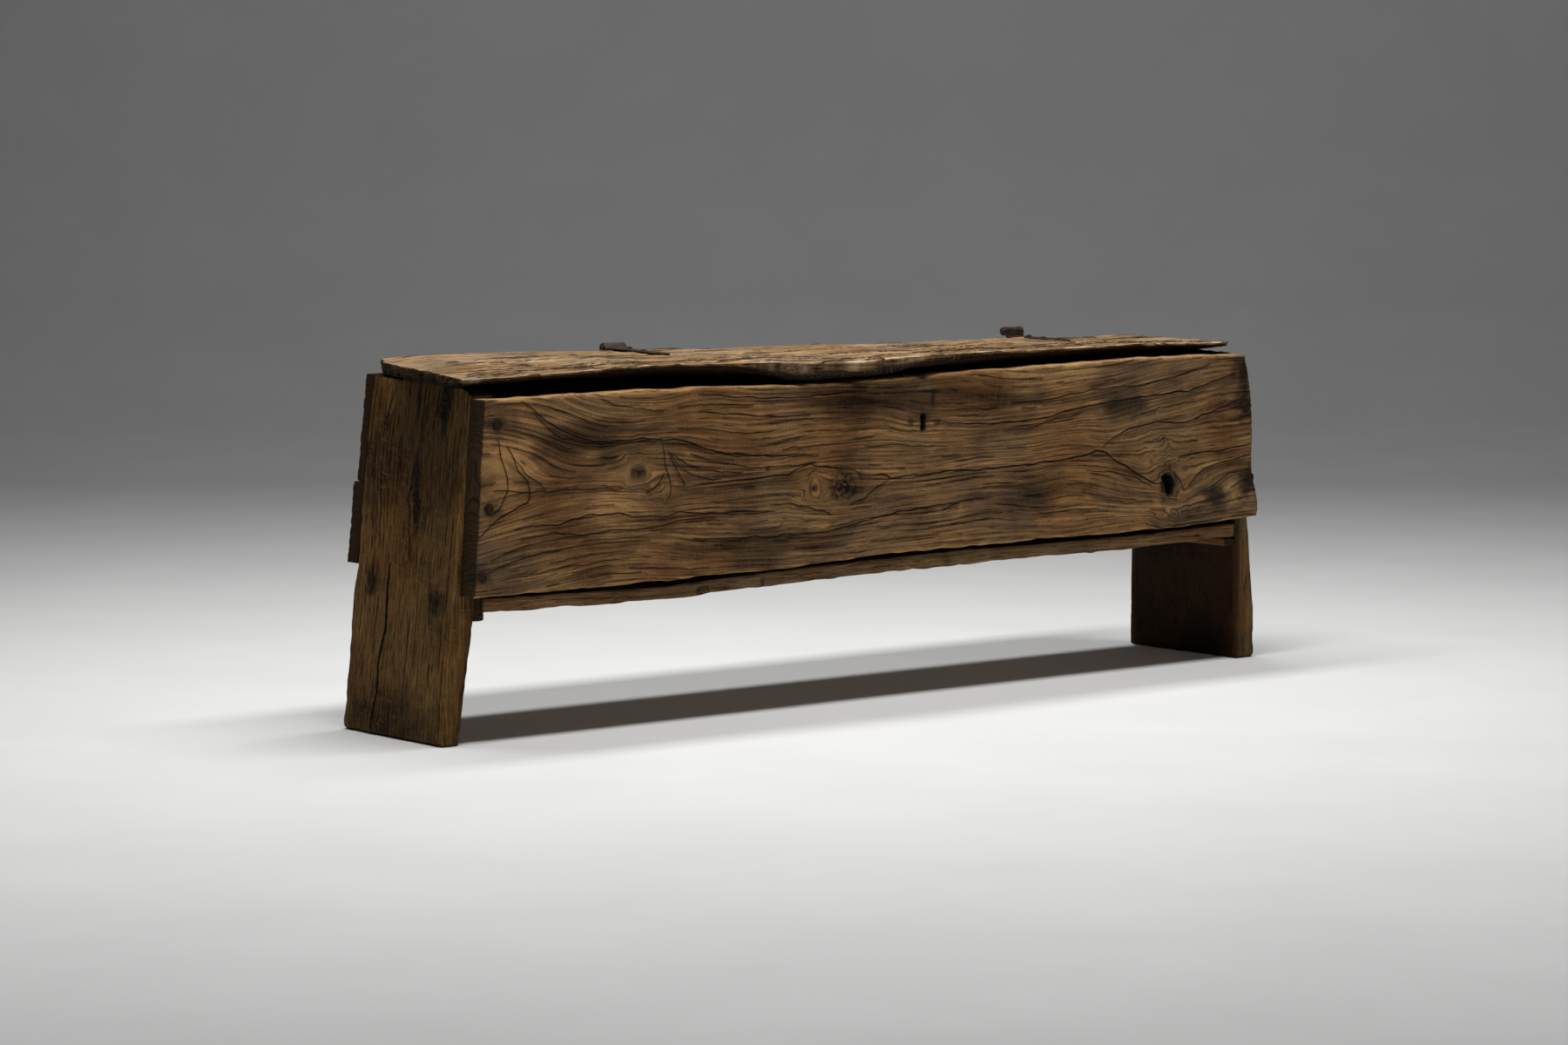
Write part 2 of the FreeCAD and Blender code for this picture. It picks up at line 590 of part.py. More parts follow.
plank.Ruled = True
limits = (
    (LID_LEFT_END_SHARES, 0 - LID_END_LIMIT_SHARE),
    (LID_RIGHT_END_SHARES, LID_END_LIMIT_SHARE),
)
end_cuts = []
for end_shares, limit_share in limits:
    edge = [(along(x_share), across(y_share)) for x_share, y_share in end_shares]
    back_corner = (along(limit_share), edge[-1][1])
    front_corner = (along(limit_share), edge[0][1])
    end_cuts.append(edge + [back_corner, front_corner])
ends_sketch = polygons(lid, "lid_ends", "XY_Plane", end_cuts, start=f"{HINGE_Z} + overrun")
pocket(lid, "lid_end_cuts", ends_sketch, "overrun * 3")
nodes.append(lid)


def lid_top(section_index, y):
    """Height of the lid's top across one of its sections."""
    shares = LID_SECTION_SHARES[section_index]
    back_height = f"(end_height + lid_thickness * {shares[3]})"
    front_height = f"(end_height + lid_thickness * {shares[4]})"
    front_edge = f"({LEG_FRONT} - lid_reach * {shares[2]})"
    return mix(back_height, front_height, f"({LID_BACK_EDGE} - {y}) / ({LID_BACK_EDGE} - {front_edge})")


def lid_slope(section_index):
    """Slope of the lid's top across one of its sections, in degrees."""
    shares = LID_SECTION_SHARES[section_index]
    fall = f"lid_thickness * ({shares[3]} - {shares[4]})"
    return f"(atan({fall} / (end_depth + lid_back_overhang + lid_reach * {shares[2]})) / 1 deg)"


def knuckle(body, name, start, length):
    """A length of hinge barrel round the pin."""
    sketch = rings(body, f"{name}_ring", start, (HINGE_Y, HINGE_Z), ["knuckle_radius"])
    pad(body, name, sketch, length)


def pin_bore(body, name, hinge_x):
    """The hole for the pin right through a hinge half."""
    radius = "(hinge_pin_radius + hinge_pin_play)"
    sketch = rings(body, f"{name}_circle", f"{hinge_x} + {HINGE_WIDTH}", (HINGE_Y, HINGE_Z), [radius])
    pocket(body, name, sketch, f"{HINGE_WIDTH} * 2")


# Hinges: a strap on the lid with the two outer knuckles, and a leaf on the upper back board with the
# middle one, on a riveted pin.
HINGES = (("left", along(LEFT_HINGE_SHARE), 4), ("right", along(RIGHT_HINGE_SHARE), 12))
for side_name, hinge_x, section_index in HINGES:
    strap = new_body(f"{side_name}_hinge_strap")
    heel = f"({LID_BACK_EDGE} + seat_gap * 2)"
    tip = f"({HINGE_Y} - strap_length)"
    heel_z = f"({lid_top(section_index, heel)} + seat_gap)"
    tip_z = f"({lid_top(section_index, tip)} + seat_gap)"
    side_view = [
        (f"({HINGE_Y} - knuckle_radius * {y_share})", f"({HINGE_Z} - knuckle_radius * {z_share})")
        for y_share, z_share in STRAP_ROOT_SHARES
    ]
    side_view += [
        (heel, f"({heel_z} + strap_thickness)"),
        (tip, f"({tip_z} + strap_tip_thickness)"),
        (tip, tip_z),
        (heel, heel_z),
    ]
    strap_side = polygons(
        strap, f"{side_name}_strap_side", "YZ_Plane", [side_view], start=f"{hinge_x} - {HINGE_WIDTH} / 2"
    )
    pad(strap, f"{side_name}_strap_bar", strap_side, HINGE_WIDTH)
    knuckle(strap, f"{side_name}_strap_barrel", f"{hinge_x} - {HINGE_WIDTH} / 2", HINGE_WIDTH)
    plan_cuts = []
    for edge_side in (-1, 1):
        half_width = f"{edge_side} * {HINGE_WIDTH}"
        edge = [
            (f"({hinge_x} + {half_width} * {width_share})", f"({HINGE_Y} - strap_length * {place_share})")
            for place_share, width_share in STRAP_PLAN_SHARES
        ]
        beyond = f"({hinge_x} + {edge_side} * {HINGE_WIDTH})"
        first = (beyond, edge[0][1])
        end_y = f"({tip} - strap_thickness)"
        last = [(edge[-1][0], end_y), (beyond, end_y)]
        plan_cuts.append([first] + edge + last)
    plan_sketch = polygons(
        strap, f"{side_name}_strap_plan", "XY_Plane", plan_cuts, start=f"{HINGE_Z} + overrun"
    )
    pocket(strap, f"{side_name}_strap_taper", plan_sketch, "overrun * 2")
    middle_start = f"{hinge_x} + knuckle_length / 2 + knuckle_gap"
    notch_radius = "(knuckle_radius + knuckle_clearance)"
    middle_sketch = rings(
        strap, f"{side_name}_strap_notch_circle", middle_start, (HINGE_Y, HINGE_Z), [notch_radius]
    )
    pocket(strap, f"{side_name}_strap_notch", middle_sketch, "knuckle_length + knuckle_gap * 2")
    pin_bore(strap, f"{side_name}_strap_bore", hinge_x)

    leaf = new_body(f"{side_name}_hinge_leaf")
    neck_z = f"({HINGE_Z} - knuckle_radius - knuckle_clearance - seat_gap)"
    neck_left = f"({hinge_x} - knuckle_length / 2)"
    neck_right = f"({hinge_x} + knuckle_length / 2)"
    right_edge = [
        (f"({hinge_x} + leaf_width * {width_share})", f"({HINGE_Z} - leaf_length * {place_share})")
        for place_share, width_share in LEAF_PLAN_SHARES
    ]
    left_edge = [
        (f"({hinge_x} - leaf_width * {width_share})", f"({HINGE_Z} - leaf_length * {place_share})")
        for place_share, width_share in reversed(LEAF_PLAN_SHARES)
    ]
    face = [(neck_left, neck_z), (neck_left, HINGE_Z), (neck_right, HINGE_Z), (neck_right, neck_z)]
    face += right_edge + left_edge
    leaf_sketch = polygons(
        leaf, f"{side_name}_leaf_face", "XZ_Plane", [face], start=f"0 - ({UPPER_BACK_FACE} + leaf_thickness)"
    )
    pad(leaf, f"{side_name}_leaf_plate", leaf_sketch, "leaf_thickness")
    knuckle(leaf, f"{side_name}_leaf_barrel", f"{hinge_x} - knuckle_length / 2", "knuckle_length")
    pin_bore(leaf, f"{side_name}_leaf_bore", hinge_x)

    pin = new_body(f"{side_name}_hinge_pin")
    pin_start = f"{hinge_x} - {HINGE_WIDTH} / 2 - seat_gap"
    pin_sketch = rings(pin, f"{side_name}_pin_circle", pin_start, (HINGE_Y, HINGE_Z), ["hinge_pin_radius"])
    pad(pin, f"{side_name}_pin_shank", pin_sketch, f"{HINGE_WIDTH} + seat_gap * 2")
    for end_name, head_start in (
        ("low", f"{pin_start} - pin_head_length"),
        ("high", f"{hinge_x} + {HINGE_WIDTH} / 2 + seat_gap"),
    ):
        head_sketch = rings(
            pin, f"{side_name}_pin_{end_name}_circle", head_start, (HINGE_Y, HINGE_Z), ["pin_head_radius"]
        )
        pad(pin, f"{side_name}_pin_{end_name}_head", head_sketch, "pin_head_length")

    taper = f"(atan((strap_thickness - strap_tip_thickness) / (strap_length - {HINGE_Y} + {heel})) / 1 deg)"
    strap_frame = (
        (1, 0, 0),
        f"({lid_slope(section_index)} + {taper})",
        (hinge_x, heel, f"({heel_z} + strap_thickness + seat_gap / 3)"),
    )
    strap_seats = [("0", f"({HINGE_Y} - {heel} - strap_length * {share})") for share in STRAP_NAIL_SHARES]
    for piece in (strap, lid):
        name = f"{side_name}_{piece.Label}_strap_nail"
        nail_holes(piece, name, strap_frame, strap_seats, "small_nail_side", "strap_nail_length")
    leaf_frame = ((-1, 0, 0), "90", ("0", f"({UPPER_BACK_FACE} + leaf_thickness)", "0"))
    leaf_seats = [
        (f"({hinge_x} + leaf_width * {width_share})", f"(leaf_length * {place_share} - {HINGE_Z})")
        for width_share, place_share in LEAF_NAIL_SHARES
    ]
    for piece in (leaf, upper_back_board):
        name = f"{side_name}_{piece.Label}_leaf_nail"
        nail_holes(piece, name, leaf_frame, leaf_seats, "small_nail_side", "leaf_nail_length")
    nodes += [strap, leaf, pin]
    nodes.append(nail_group(f"{side_name}_strap_nails", strap_nail, strap_frame, strap_seats))
    nodes.append(nail_group(f"{side_name}_leaf_nails", leaf_nail, leaf_frame, leaf_seats))

# Nails of the carcass.
for side_name, side, outer_shares, inner_shares in SIDES:
    end_board = end_boards[side]
    front_shares = LEFT_FRONT_NAIL_SHARES if side < 0 else RIGHT_FRONT_NAIL_SHARES
    front_frame = ((1, 0, 0), "90", ("0", FRONT_FACE, "0"))
    front_seats = [(along(x_share), up(z_share)) for x_share, z_share in front_shares]
    for piece in (front_board, end_board):
        nail_holes(piece, f"{side_name}_front_nail", front_frame, front_seats, "nail_side", "nail_length")
    nodes.append(nail_group(f"{side_name}_front_nails", board_nail, front_frame, front_seats))

    backs = (
        ("upper", UPPER_BACK_NAIL_SHARES, UPPER_BACK_FACE, upper_back_board),
        ("lower", LOWER_BACK_NAIL_SHARES, LOWER_BACK_FACE, lower_back_board),
    )
    for back_name, back_shares, back_face, back_piece in backs:
        back_frame = ((-1, 0, 0), "90", ("0", back_face, "0"))
        back_seats = [(along(side * x_share), f"(0 - {up(z_share)})") for x_share, z_share in back_shares]
        label = f"{side_name}_{back_name}_back_nail"
        for piece in (back_piece, end_board):
            nail_holes(piece, label, back_frame, back_seats, "nail_side", "nail_length")
        nodes.append(nail_group(f"{label}s", board_nail, back_frame, back_seats))

    cleat_shares = LEFT_CLEAT_NAIL_SHARES if side < 0 else RIGHT_CLEAT_NAIL_SHARES
    middle_share = sum(height_share for height_share, y_share in cleat_shares) / len(cleat_shares)
    lean = outer_lean(outer_shares)
    cleat_frame = (
        (0, side, 0),
        f"(90 - {lean})",
        (outer_face_x(side, outer_shares, middle_share), "0", up(middle_share)),
    )
    cleat_seats = [
        (f"({up(middle_share - height_share)} * {side} / cos({lean} * 1 deg))", across(y_share))
        for height_share, y_share in cleat_shares
    ]
    nailed = (end_board, cleats[side], bottom_board) if side < 0 else (end_board, cleats[side])
    for piece in nailed:
        name = f"{side_name}_{piece.Label}_cleat_nail"
        nail_holes(piece, name, cleat_frame, cleat_seats, "nail_side", "cleat_nail_length")
    nodes.append(nail_group(f"{side_name}_cleat_nails", cleat_nail, cleat_frame, cleat_seats))

# Two nails down through the bottom board into the right cleat.
cleat_middle = f"({right_wall} - right_cleat_width * {FLOOR_NAIL_INSET_SHARE})"
floor_frame = ((0, 0, 1), "0", ("0", "0", f"({up(BOTTOM_RIGHT_SHARE)} + bottom_thickness)"))
floor_seats = [(cleat_middle, across(y_share)) for y_share in FLOOR_NAIL_SHARES]
for piece in (bottom_board, right_cleat):
    name = f"{piece.Label}_floor_nail"
    nail_holes(piece, name, floor_frame, floor_seats, "small_nail_side", "floor_nail_length")
nodes.append(nail_group("floor_nails", floor_nail, floor_frame, floor_seats))

# Lock inside the front board: a plate with two keepers, a case and a sliding bolt.
lock_plate = board(
    "lock_plate",
    rectangle(LOCK_X, LOCK_Z, "lock_plate_width", "lock_plate_height"),
    f"({LEG_FRONT} + lock_plate_thickness)",
    "lock_plate_thickness",
)
before_plate = f"0 - ({LEG_FRONT} - overrun)"
plate_hole = polygons(lock_plate, "plate_keyhole", "XZ_Plane", [KEYHOLE], start=before_plate)
pocket(lock_plate, "plate_keyhole_cut", plate_hole, "overrun * 2")
BOLT_START = f"({STAPLE_X} + staple_thickness / 2 + bolt_gap)"
KEEPER_OUTER_HEIGHT = "(bolt_height + seat_gap * 2 + keeper_wall * 2)"
keeper_front = f"({LEG_FRONT} + lock_plate_thickness / 2)"
keeper_back = f"({STAPLE_MIDDLE} + bolt_thickness / 2 + seat_gap + keeper_wall)"
for index, place_share in enumerate(KEEPER_PLACE_SHARES, start=1):
    keeper_middle_y = f"(({keeper_front} + {keeper_back}) / 2)"
    outer = rectangle(keeper_middle_y, BOLT_Z, f"({keeper_back} - {keeper_front})", KEEPER_OUTER_HEIGHT)
    inner = rectangle(
        STAPLE_MIDDLE, BOLT_Z, "(bolt_thickness + seat_gap * 2)", "(bolt_height + seat_gap * 2)"
    )
    keeper_sketch = polygons(
        lock_plate,
        f"keeper_{index}_outline",
        "YZ_Plane",
        [outer, inner],
        start=f"{BOLT_START} + bolt_length * {place_share} - keeper_width / 2",
    )
    pad(lock_plate, f"keeper_{index}", keeper_sketch, "keeper_width")

lock_case = new_body("lock_case")
CASE_Z = f"({BOLT_Z} + bolt_height * {CASE_RISE_SHARE} - lock_case_height / 2)"
CASE_BACK = f"({LEG_FRONT} + lock_plate_thickness + lock_case_depth)"
case_sketch = polygons(
    lock_case,
    "case_outline",
    "XZ_Plane",
    [rectangle(LOCK_X, CASE_Z, "lock_case_width", "lock_case_height")],
    start=f"0 - {CASE_BACK}",
)
pad(lock_case, "case_block", case_sketch, "lock_case_depth")
inside_width = "(lock_case_width - lock_case_wall * 2)"
inside_height = "(lock_case_height - lock_case_wall * 2)"
case_inside = polygons(
    lock_case,
    "case_inside_outline",
    "XZ_Plane",
    [rectangle(LOCK_X, CASE_Z, inside_width, inside_height)],
    start=f"0 - ({CASE_BACK} - lock_case_depth - overrun)",
)
pocket(lock_case, "case_inside", case_inside, "lock_case_depth + overrun - lock_case_wall")
slot_sketch = polygons(
    lock_case,
    "case_slot_outline",
    "XY_Plane",
    [
        rectangle(
            STAPLE_X,
            f"({STAPLE_MIDDLE} - staple_bar)",
            "(staple_thickness + bolt_gap * 2)",
            f"(staple_width * {SLOT_LENGTH_SHARE})",
        )
    ],
    start=f"{BOLT_Z} + overrun",
)
pocket(lock_case, "case_slot", slot_sketch, "overrun")

lock_bolt = new_body("lock_bolt")
bolt_sketch = polygons(
    lock_bolt,
    "bolt_section",
    "YZ_Plane",
    [rectangle(STAPLE_MIDDLE, BOLT_Z, "bolt_thickness", "bolt_height")],
    start=BOLT_START,
)
pad(lock_bolt, "bolt_bar", bolt_sketch, "bolt_length")
talon_sketch = polygons(
    lock_bolt,
    "bolt_talon_outline",
    "YZ_Plane",
    [
        rectangle(
            STAPLE_MIDDLE,
            f"({BOLT_Z} - bolt_height * {TALON_DROP_SHARE})",
            "bolt_thickness",
            f"(bolt_height * {TALON_HEIGHT_SHARE})",
        )
    ],
    start=f"{BOLT_START} + bolt_length * {TALON_PLACE_SHARE}",
)
pad(lock_bolt, "bolt_talon", talon_sketch, f"(keeper_width * {TALON_WIDTH_SHARE})")

lock_frame = ((-1, 0, 0), "90", ("0", f"({LEG_FRONT} + lock_plate_thickness)", "0"))
lock_seats = [
    (f"({LOCK_X} + lock_plate_width * {x_share})", f"(0 - ({LOCK_Z} + lock_plate_height * {z_share}))")
    for x_share, z_share in LOCK_NAIL_SHARES
]
for piece in (lock_plate, front_board):
    name = f"{piece.Label}_lock_nail"
    nail_holes(piece, name, lock_frame, lock_seats, "lock_nail_side", LOCK_NAIL_LENGTH)
nodes += [lock_plate, lock_case, lock_bolt]
nodes.append(nail_group("lock_nails", lock_nail, lock_frame, lock_seats))

# Staple under the lid: a plate, and an eye that hangs into the lock and that the bolt goes through.
staple = new_body("lid_staple")
plate_front = f"({STAPLE_MIDDLE} - staple_plate_depth / 2)"
STAPLE_TOP = f"({seat_plane(plate_front)} + lid_gap)"
plate_sketch = polygons(
    staple,
    "staple_plate_outline",
    "XY_Plane",
    [rectangle(STAPLE_X, STAPLE_MIDDLE, "staple_plate_width", "staple_plate_depth")],
    start=f"{STAPLE_TOP} - staple_plate_thickness",
)
pad(staple, "staple_plate", plate_sketch, "staple_plate_thickness")
EYE_HEIGHT = f"(bolt_height * (1 + {EYE_CLEARANCE_SHARE} * 2))"
EYE_LOW = f"({BOLT_Z} - {EYE_HEIGHT} / 2)"
EYE_FOOT = f"({EYE_LOW} - staple_bar)"
eye_top = f"({STAPLE_TOP} - staple_plate_thickness / 2)"
eye_middle = f"(({eye_top} + {EYE_FOOT}) / 2)"
eye_outer = rectangle(STAPLE_MIDDLE, eye_middle, "staple_width", f"({eye_top} - {EYE_FOOT})")
eye_window = rectangle(STAPLE_MIDDLE, BOLT_Z, "(staple_width - staple_bar * 2)", EYE_HEIGHT)
eye_start = f"{STAPLE_X} - staple_thickness / 2"
eye_sketch = polygons(staple, "staple_eye_outline", "YZ_Plane", [eye_outer, eye_window], start=eye_start)
pad(staple, "staple_eye", eye_sketch, "staple_thickness")
staple_frame = ((1, 0, 0), "180", ("0", "0", f"({STAPLE_TOP} - staple_plate_thickness)"))
staple_seats = [
    (f"({STAPLE_X} + staple_plate_width * {x_share})", f"(0 - {STAPLE_MIDDLE})")
    for x_share in STAPLE_NAIL_SHARES
]
for piece in (staple, lid):
    name = f"{piece.Label}_staple_nail"
    nail_holes(piece, name, staple_frame, staple_seats, "small_nail_side", "strap_nail_length")
nodes.append(staple)
nodes.append(nail_group("staple_nails", strap_nail, staple_frame, staple_seats))

for body in [item for item in doc.Objects if item.TypeId == "PartDesign::Body"]:
    body.Tip = body.Group[-1]
doc.recompute()

# Nothing is written unless every object is sound.
faulty = [item.Name for item in doc.Objects if "Invalid" in item.State or "Error" in item.State]
if faulty:
    raise RuntimeError(f"failed to recompute: {faulty}")
for node in nodes:
    if node.Shape.isNull() or not node.Shape.isValid():
        raise RuntimeError(f"unsound shape: {node.Label}")
os.makedirs("parts", exist_ok=True)
for node in nodes:
    node.Shape.exportStep(f"parts/{node.Label}.step")
    box = node.Shape.BoundBox
    lengths = f"{box.XLength:.1f} x {box.YLength:.1f} x {box.ZLength:.1f}"
    print(f"{node.Label}: {len(node.Shape.Solids)} solid(s), {lengths}")
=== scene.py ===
import logging
import math
from collections.abc import Callable, Iterable, Sequence
from dataclasses import dataclass, field
from enum import Enum
from functools import partial

import bpy
import numpy as np
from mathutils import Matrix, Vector


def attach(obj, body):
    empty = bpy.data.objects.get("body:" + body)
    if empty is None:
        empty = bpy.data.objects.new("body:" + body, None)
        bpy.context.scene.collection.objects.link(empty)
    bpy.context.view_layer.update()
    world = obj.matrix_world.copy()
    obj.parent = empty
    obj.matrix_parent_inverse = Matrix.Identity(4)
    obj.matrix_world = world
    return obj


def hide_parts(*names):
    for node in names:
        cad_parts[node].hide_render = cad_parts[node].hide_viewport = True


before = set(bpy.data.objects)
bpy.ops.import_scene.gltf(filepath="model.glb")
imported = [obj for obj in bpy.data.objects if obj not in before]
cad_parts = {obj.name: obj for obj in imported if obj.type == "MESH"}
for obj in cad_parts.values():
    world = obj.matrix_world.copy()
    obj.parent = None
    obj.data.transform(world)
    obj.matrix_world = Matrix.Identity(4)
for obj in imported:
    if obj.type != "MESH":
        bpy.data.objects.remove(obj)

# A long low plank chest of worn hardwood with forged iron hinges, nails and lock.
# Sizes are in millimetres, in the frame's own axes, and become metres where a mesh is made.
MM = 0.001
# Large odd numbers that scatter the bits of a cell's place, so that noise looks the same in every run.
SCATTER_X, SCATTER_Y, SCATTER_SEED, SCATTER_MIX = 374761393, 668265263, 974634777, 1274126177
# Where the sRGB curve leaves its straight foot.
SRGB_FOOT = 0.04045
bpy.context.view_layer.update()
LOG = logging.getLogger("chest")

Place = tuple[float, float]
Point = tuple[float, float, float]
# Two rows of numbers that belong together, such as a mesh's vertices and faces.
Pair = tuple[np.ndarray, np.ndarray]


class Body(Enum):
    """The rigid bodies that pieces ride on."""

    BOX = "chest_box"
    LID = "lid"


class Slot(Enum):
    """The record's material slots."""

    WOOD = "wood"
    LID_WOOD = "lid_wood"
    IRON = "iron"


# ---- Numbers ----


def linear(code: str) -> tuple[float, float, float, float]:
    """Turns an sRGB hex colour into linear values.

    Args:
        code: Six hex digits.

    Returns:
        Red, green, blue and an alpha of 1.
    """
    shares = [int(code[index:index + 2], 16) / 255 for index in (0, 2, 4)]
    red, green, blue = (
        share / 12.92 if share <= SRGB_FOOT else ((share + 0.055) / 1.055) ** 2.4 for share in shares
    )
    return red, green, blue, 1.0


def noise(seed: int, x: np.ndarray, y: np.ndarray | float = 0.0) -> np.ndarray:
    """Smooth value noise.

    Args:
        seed: Picks the pattern.
        x: First coordinate, one unit to a cell.
        y: Second coordinate, one unit to a cell.

    Returns:
        Values between -1 and 1.
    """
    x, y = np.broadcast_arrays(np.asarray(x, float), np.asarray(y, float))
    cell_x, cell_y = np.floor(x).astype(np.int64), np.floor(y).astype(np.int64)
    part_x, part_y = x - cell_x, y - cell_y
    ease_x, ease_y = (part * part * (3 - 2 * part) for part in (part_x, part_y))

    def corner(step_x: int, step_y: int) -> np.ndarray:
        """A fixed random value for a corner of the cell."""
        code = (cell_x + step_x) * SCATTER_X + (cell_y + step_y) * SCATTER_Y + seed * SCATTER_SEED
        code &= 0xFFFFFFFF
        code = ((code ^ (code >> 13)) * SCATTER_MIX) & 0xFFFFFFFF
        return ((code ^ (code >> 16)) & 0xFFFF) / 32767.5 - 1

    low = corner(0, 0) * (1 - ease_x) + corner(1, 0) * ease_x
    high = corner(0, 1) * (1 - ease_x) + corner(1, 1) * ease_x
    return low * (1 - ease_y) + high * ease_y


def rough(seed: int, x: np.ndarray, y: np.ndarray | float = 0.0, octaves: int = 3) -> np.ndarray:
    """Noise of roughly -1 to 1 with finer and finer detail, in as many layers as octaves says."""
    return sum(noise(seed + layer, x * 2**layer, y * 2**layer) * 0.55**layer for layer in range(octaves))


def ease(value: np.ndarray, low: float, high: float) -> np.ndarray:
    """Rises smoothly from 0 at low to 1 at high, which may lie below low."""
    share = np.clip((value - low) / (high - low), 0, 1)
    return share * share * (3 - 2 * share)


def distances(corners: np.ndarray) -> np.ndarray:
    """How far along a path each of its corners lies."""
    return np.concatenate([[0], np.cumsum(np.linalg.norm(np.diff(corners, axis=0), axis=1))])


def on_path(corners: np.ndarray, place: np.ndarray) -> np.ndarray:
    """The points of a flat path that lie some distances along it."""
    run = distances(corners)
    return np.stack([np.interp(place, run, corners[:, axis]) for axis in (0, 1)], axis=1)


# ---- Meshes ----


def box_grid(cells: tuple[int, int, int]) -> tuple[np.ndarray, np.ndarray, np.ndarray]:
    """A closed box with its faces divided into cells.

    Args:
        cells: How many cells lie along, across and through the box.

    Returns:
        Each vertex's shares of the box, the quads, and the lattice of vertex numbers.
    """
    surface = np.zeros([count + 1 for count in cells], bool)
    surface[[0, -1]] = True
    surface[:, [0, -1]] = True
    surface[:, :, [0, -1]] = True
    numbers = np.full(surface.shape, -1)
    numbers[surface] = np.arange(surface.sum())
    quads = []
    for axis in range(3):
        for last in (False, True):
            side = np.take(numbers, -1 if last else 0, axis=axis)
            ring = (side[:-1, :-1], side[1:, :-1], side[1:, 1:], side[:-1, 1:])
            quad = np.stack(ring, axis=-1).reshape(-1, 4)
            quads.append(quad if last != (axis == 1) else quad[:, ::-1])
    return np.argwhere(surface) / np.array(cells), np.concatenate(quads), numbers


def normals(points: np.ndarray, quads: np.ndarray) -> np.ndarray:
    """Unit normals at the vertices.

    Args:
        points: The vertices.
        quads: The faces.

    Returns:
        One normal for each vertex.
    """
    corners = points[quads]
    face = np.cross(corners[:, 2] - corners[:, 0], corners[:, 3] - corners[:, 1])
    total = np.stack(
        [np.bincount(quads.ravel(), np.repeat(face[:, axis], 4), len(points)) for axis in range(3)], axis=1
    )
    return total / np.maximum(np.linalg.norm(total, axis=1, keepdims=True), 1e-9)


def inside_out(points: np.ndarray, quads: np.ndarray) -> bool:
    """Says whether a closed surface faces inwards.

    Args:
        points: The vertices.
        quads: The faces.

    Returns:
        True where the faces have to be turned.
    """
    corners = points[quads] - points.mean(axis=0)
    volume = np.einsum("ij,ij->", corners[:, 0], np.cross(corners[:, 1], corners[:, 2]))
    return volume + np.einsum("ij,ij->", corners[:, 0], np.cross(corners[:, 2], corners[:, 3])) < 0


def new_object(
    name: str, points: np.ndarray, quads: Iterable[Sequence[int]], marks: dict[str, np.ndarray] | None = None
) -> bpy.types.Object:
    """Makes a mesh object from numbers in millimetres.

    Args:
        name: The object's name.
        points: The vertices.
        quads: The faces.
        marks: Named vectors for each vertex, which the finish reads.

    Returns:
        The new object, in the scene's collection.
    """
    mesh = bpy.data.meshes.new(name)
    mesh.from_pydata((points * MM).tolist(), [], [tuple(map(int, quad)) for quad in quads])
    for label, values in (marks or {}).items():
        attribute = mesh.attributes.new(label, "FLOAT_VECTOR", "POINT")
        attribute.data.foreach_set("vector", np.ascontiguousarray(values, dtype=np.float32).ravel())
    mesh.shade_smooth()
    mesh.update()
    item = bpy.data.objects.new(name, mesh)
    bpy.context.scene.collection.objects.link(item)
    return item


def hand_over(
    item: bpy.types.Object, material: bpy.types.Material, body: Body, nodes: Sequence[str]
) -> None:
    """Gives a finished piece its material, its body and the nodes that it stands for.

    Args:
        item: The finished piece.
        material: What it is made of.
        body: The body that it rides on.
        nodes: The nodes that it replaces.
    """
    item.data.materials.clear()
    item.data.materials.append(material)
    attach(item, body.value)
    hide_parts(*nodes)
    LOG.info("%s: %d faces on %s", item.name, len(item.data.polygons), body.value)


# ---- Finishes ----

AddNode = Callable[..., bpy.types.Node]
Nodes = dict[str, bpy.types.Node | bpy.types.NodeSocket]


def add_node(
    tree: bpy.types.NodeTree, kind: str, settings: dict | None = None, inputs: dict | None = None
) -> bpy.types.Node:
    """Adds a node with its settings and links.

    Args:
        tree: The tree that it goes into.
        kind: The node's type.
        settings: Its properties by name. The stops of a colour ramp are pairs of place and hex colour.
        inputs: For each input's name or number a value, or the node or socket that feeds it.

    Returns:
        The node.
    """
    node = tree.nodes.new(kind)
    for key, setting in (settings or {}).items():
        if key == "stops":
            elements = node.color_ramp.elements
            while len(elements) < len(setting):
                elements.new(0.5)
            for element, (place, code) in zip(elements, setting):
                element.position = place
                element.color = linear(code)
        else:
            setattr(node, key, setting)
    for key, source in (inputs or {}).items():
        if isinstance(source, bpy.types.Node):
            source = source.outputs[0]
        if isinstance(source, bpy.types.NodeSocket):
            tree.links.new(source, node.inputs[key])
        else:
            node.inputs[key].default_value = source
    return node


def new_material(name: str) -> tuple[bpy.types.Material, AddNode]:
    """Starts an empty node material.

    Args:
        name: The material's name.

    Returns:
        The material, and add_node for its tree.
    """
    material = bpy.data.materials.new(name)
    material.use_nodes = True
    material.node_tree.nodes.clear()
    return material, partial(add_node, material.node_tree)


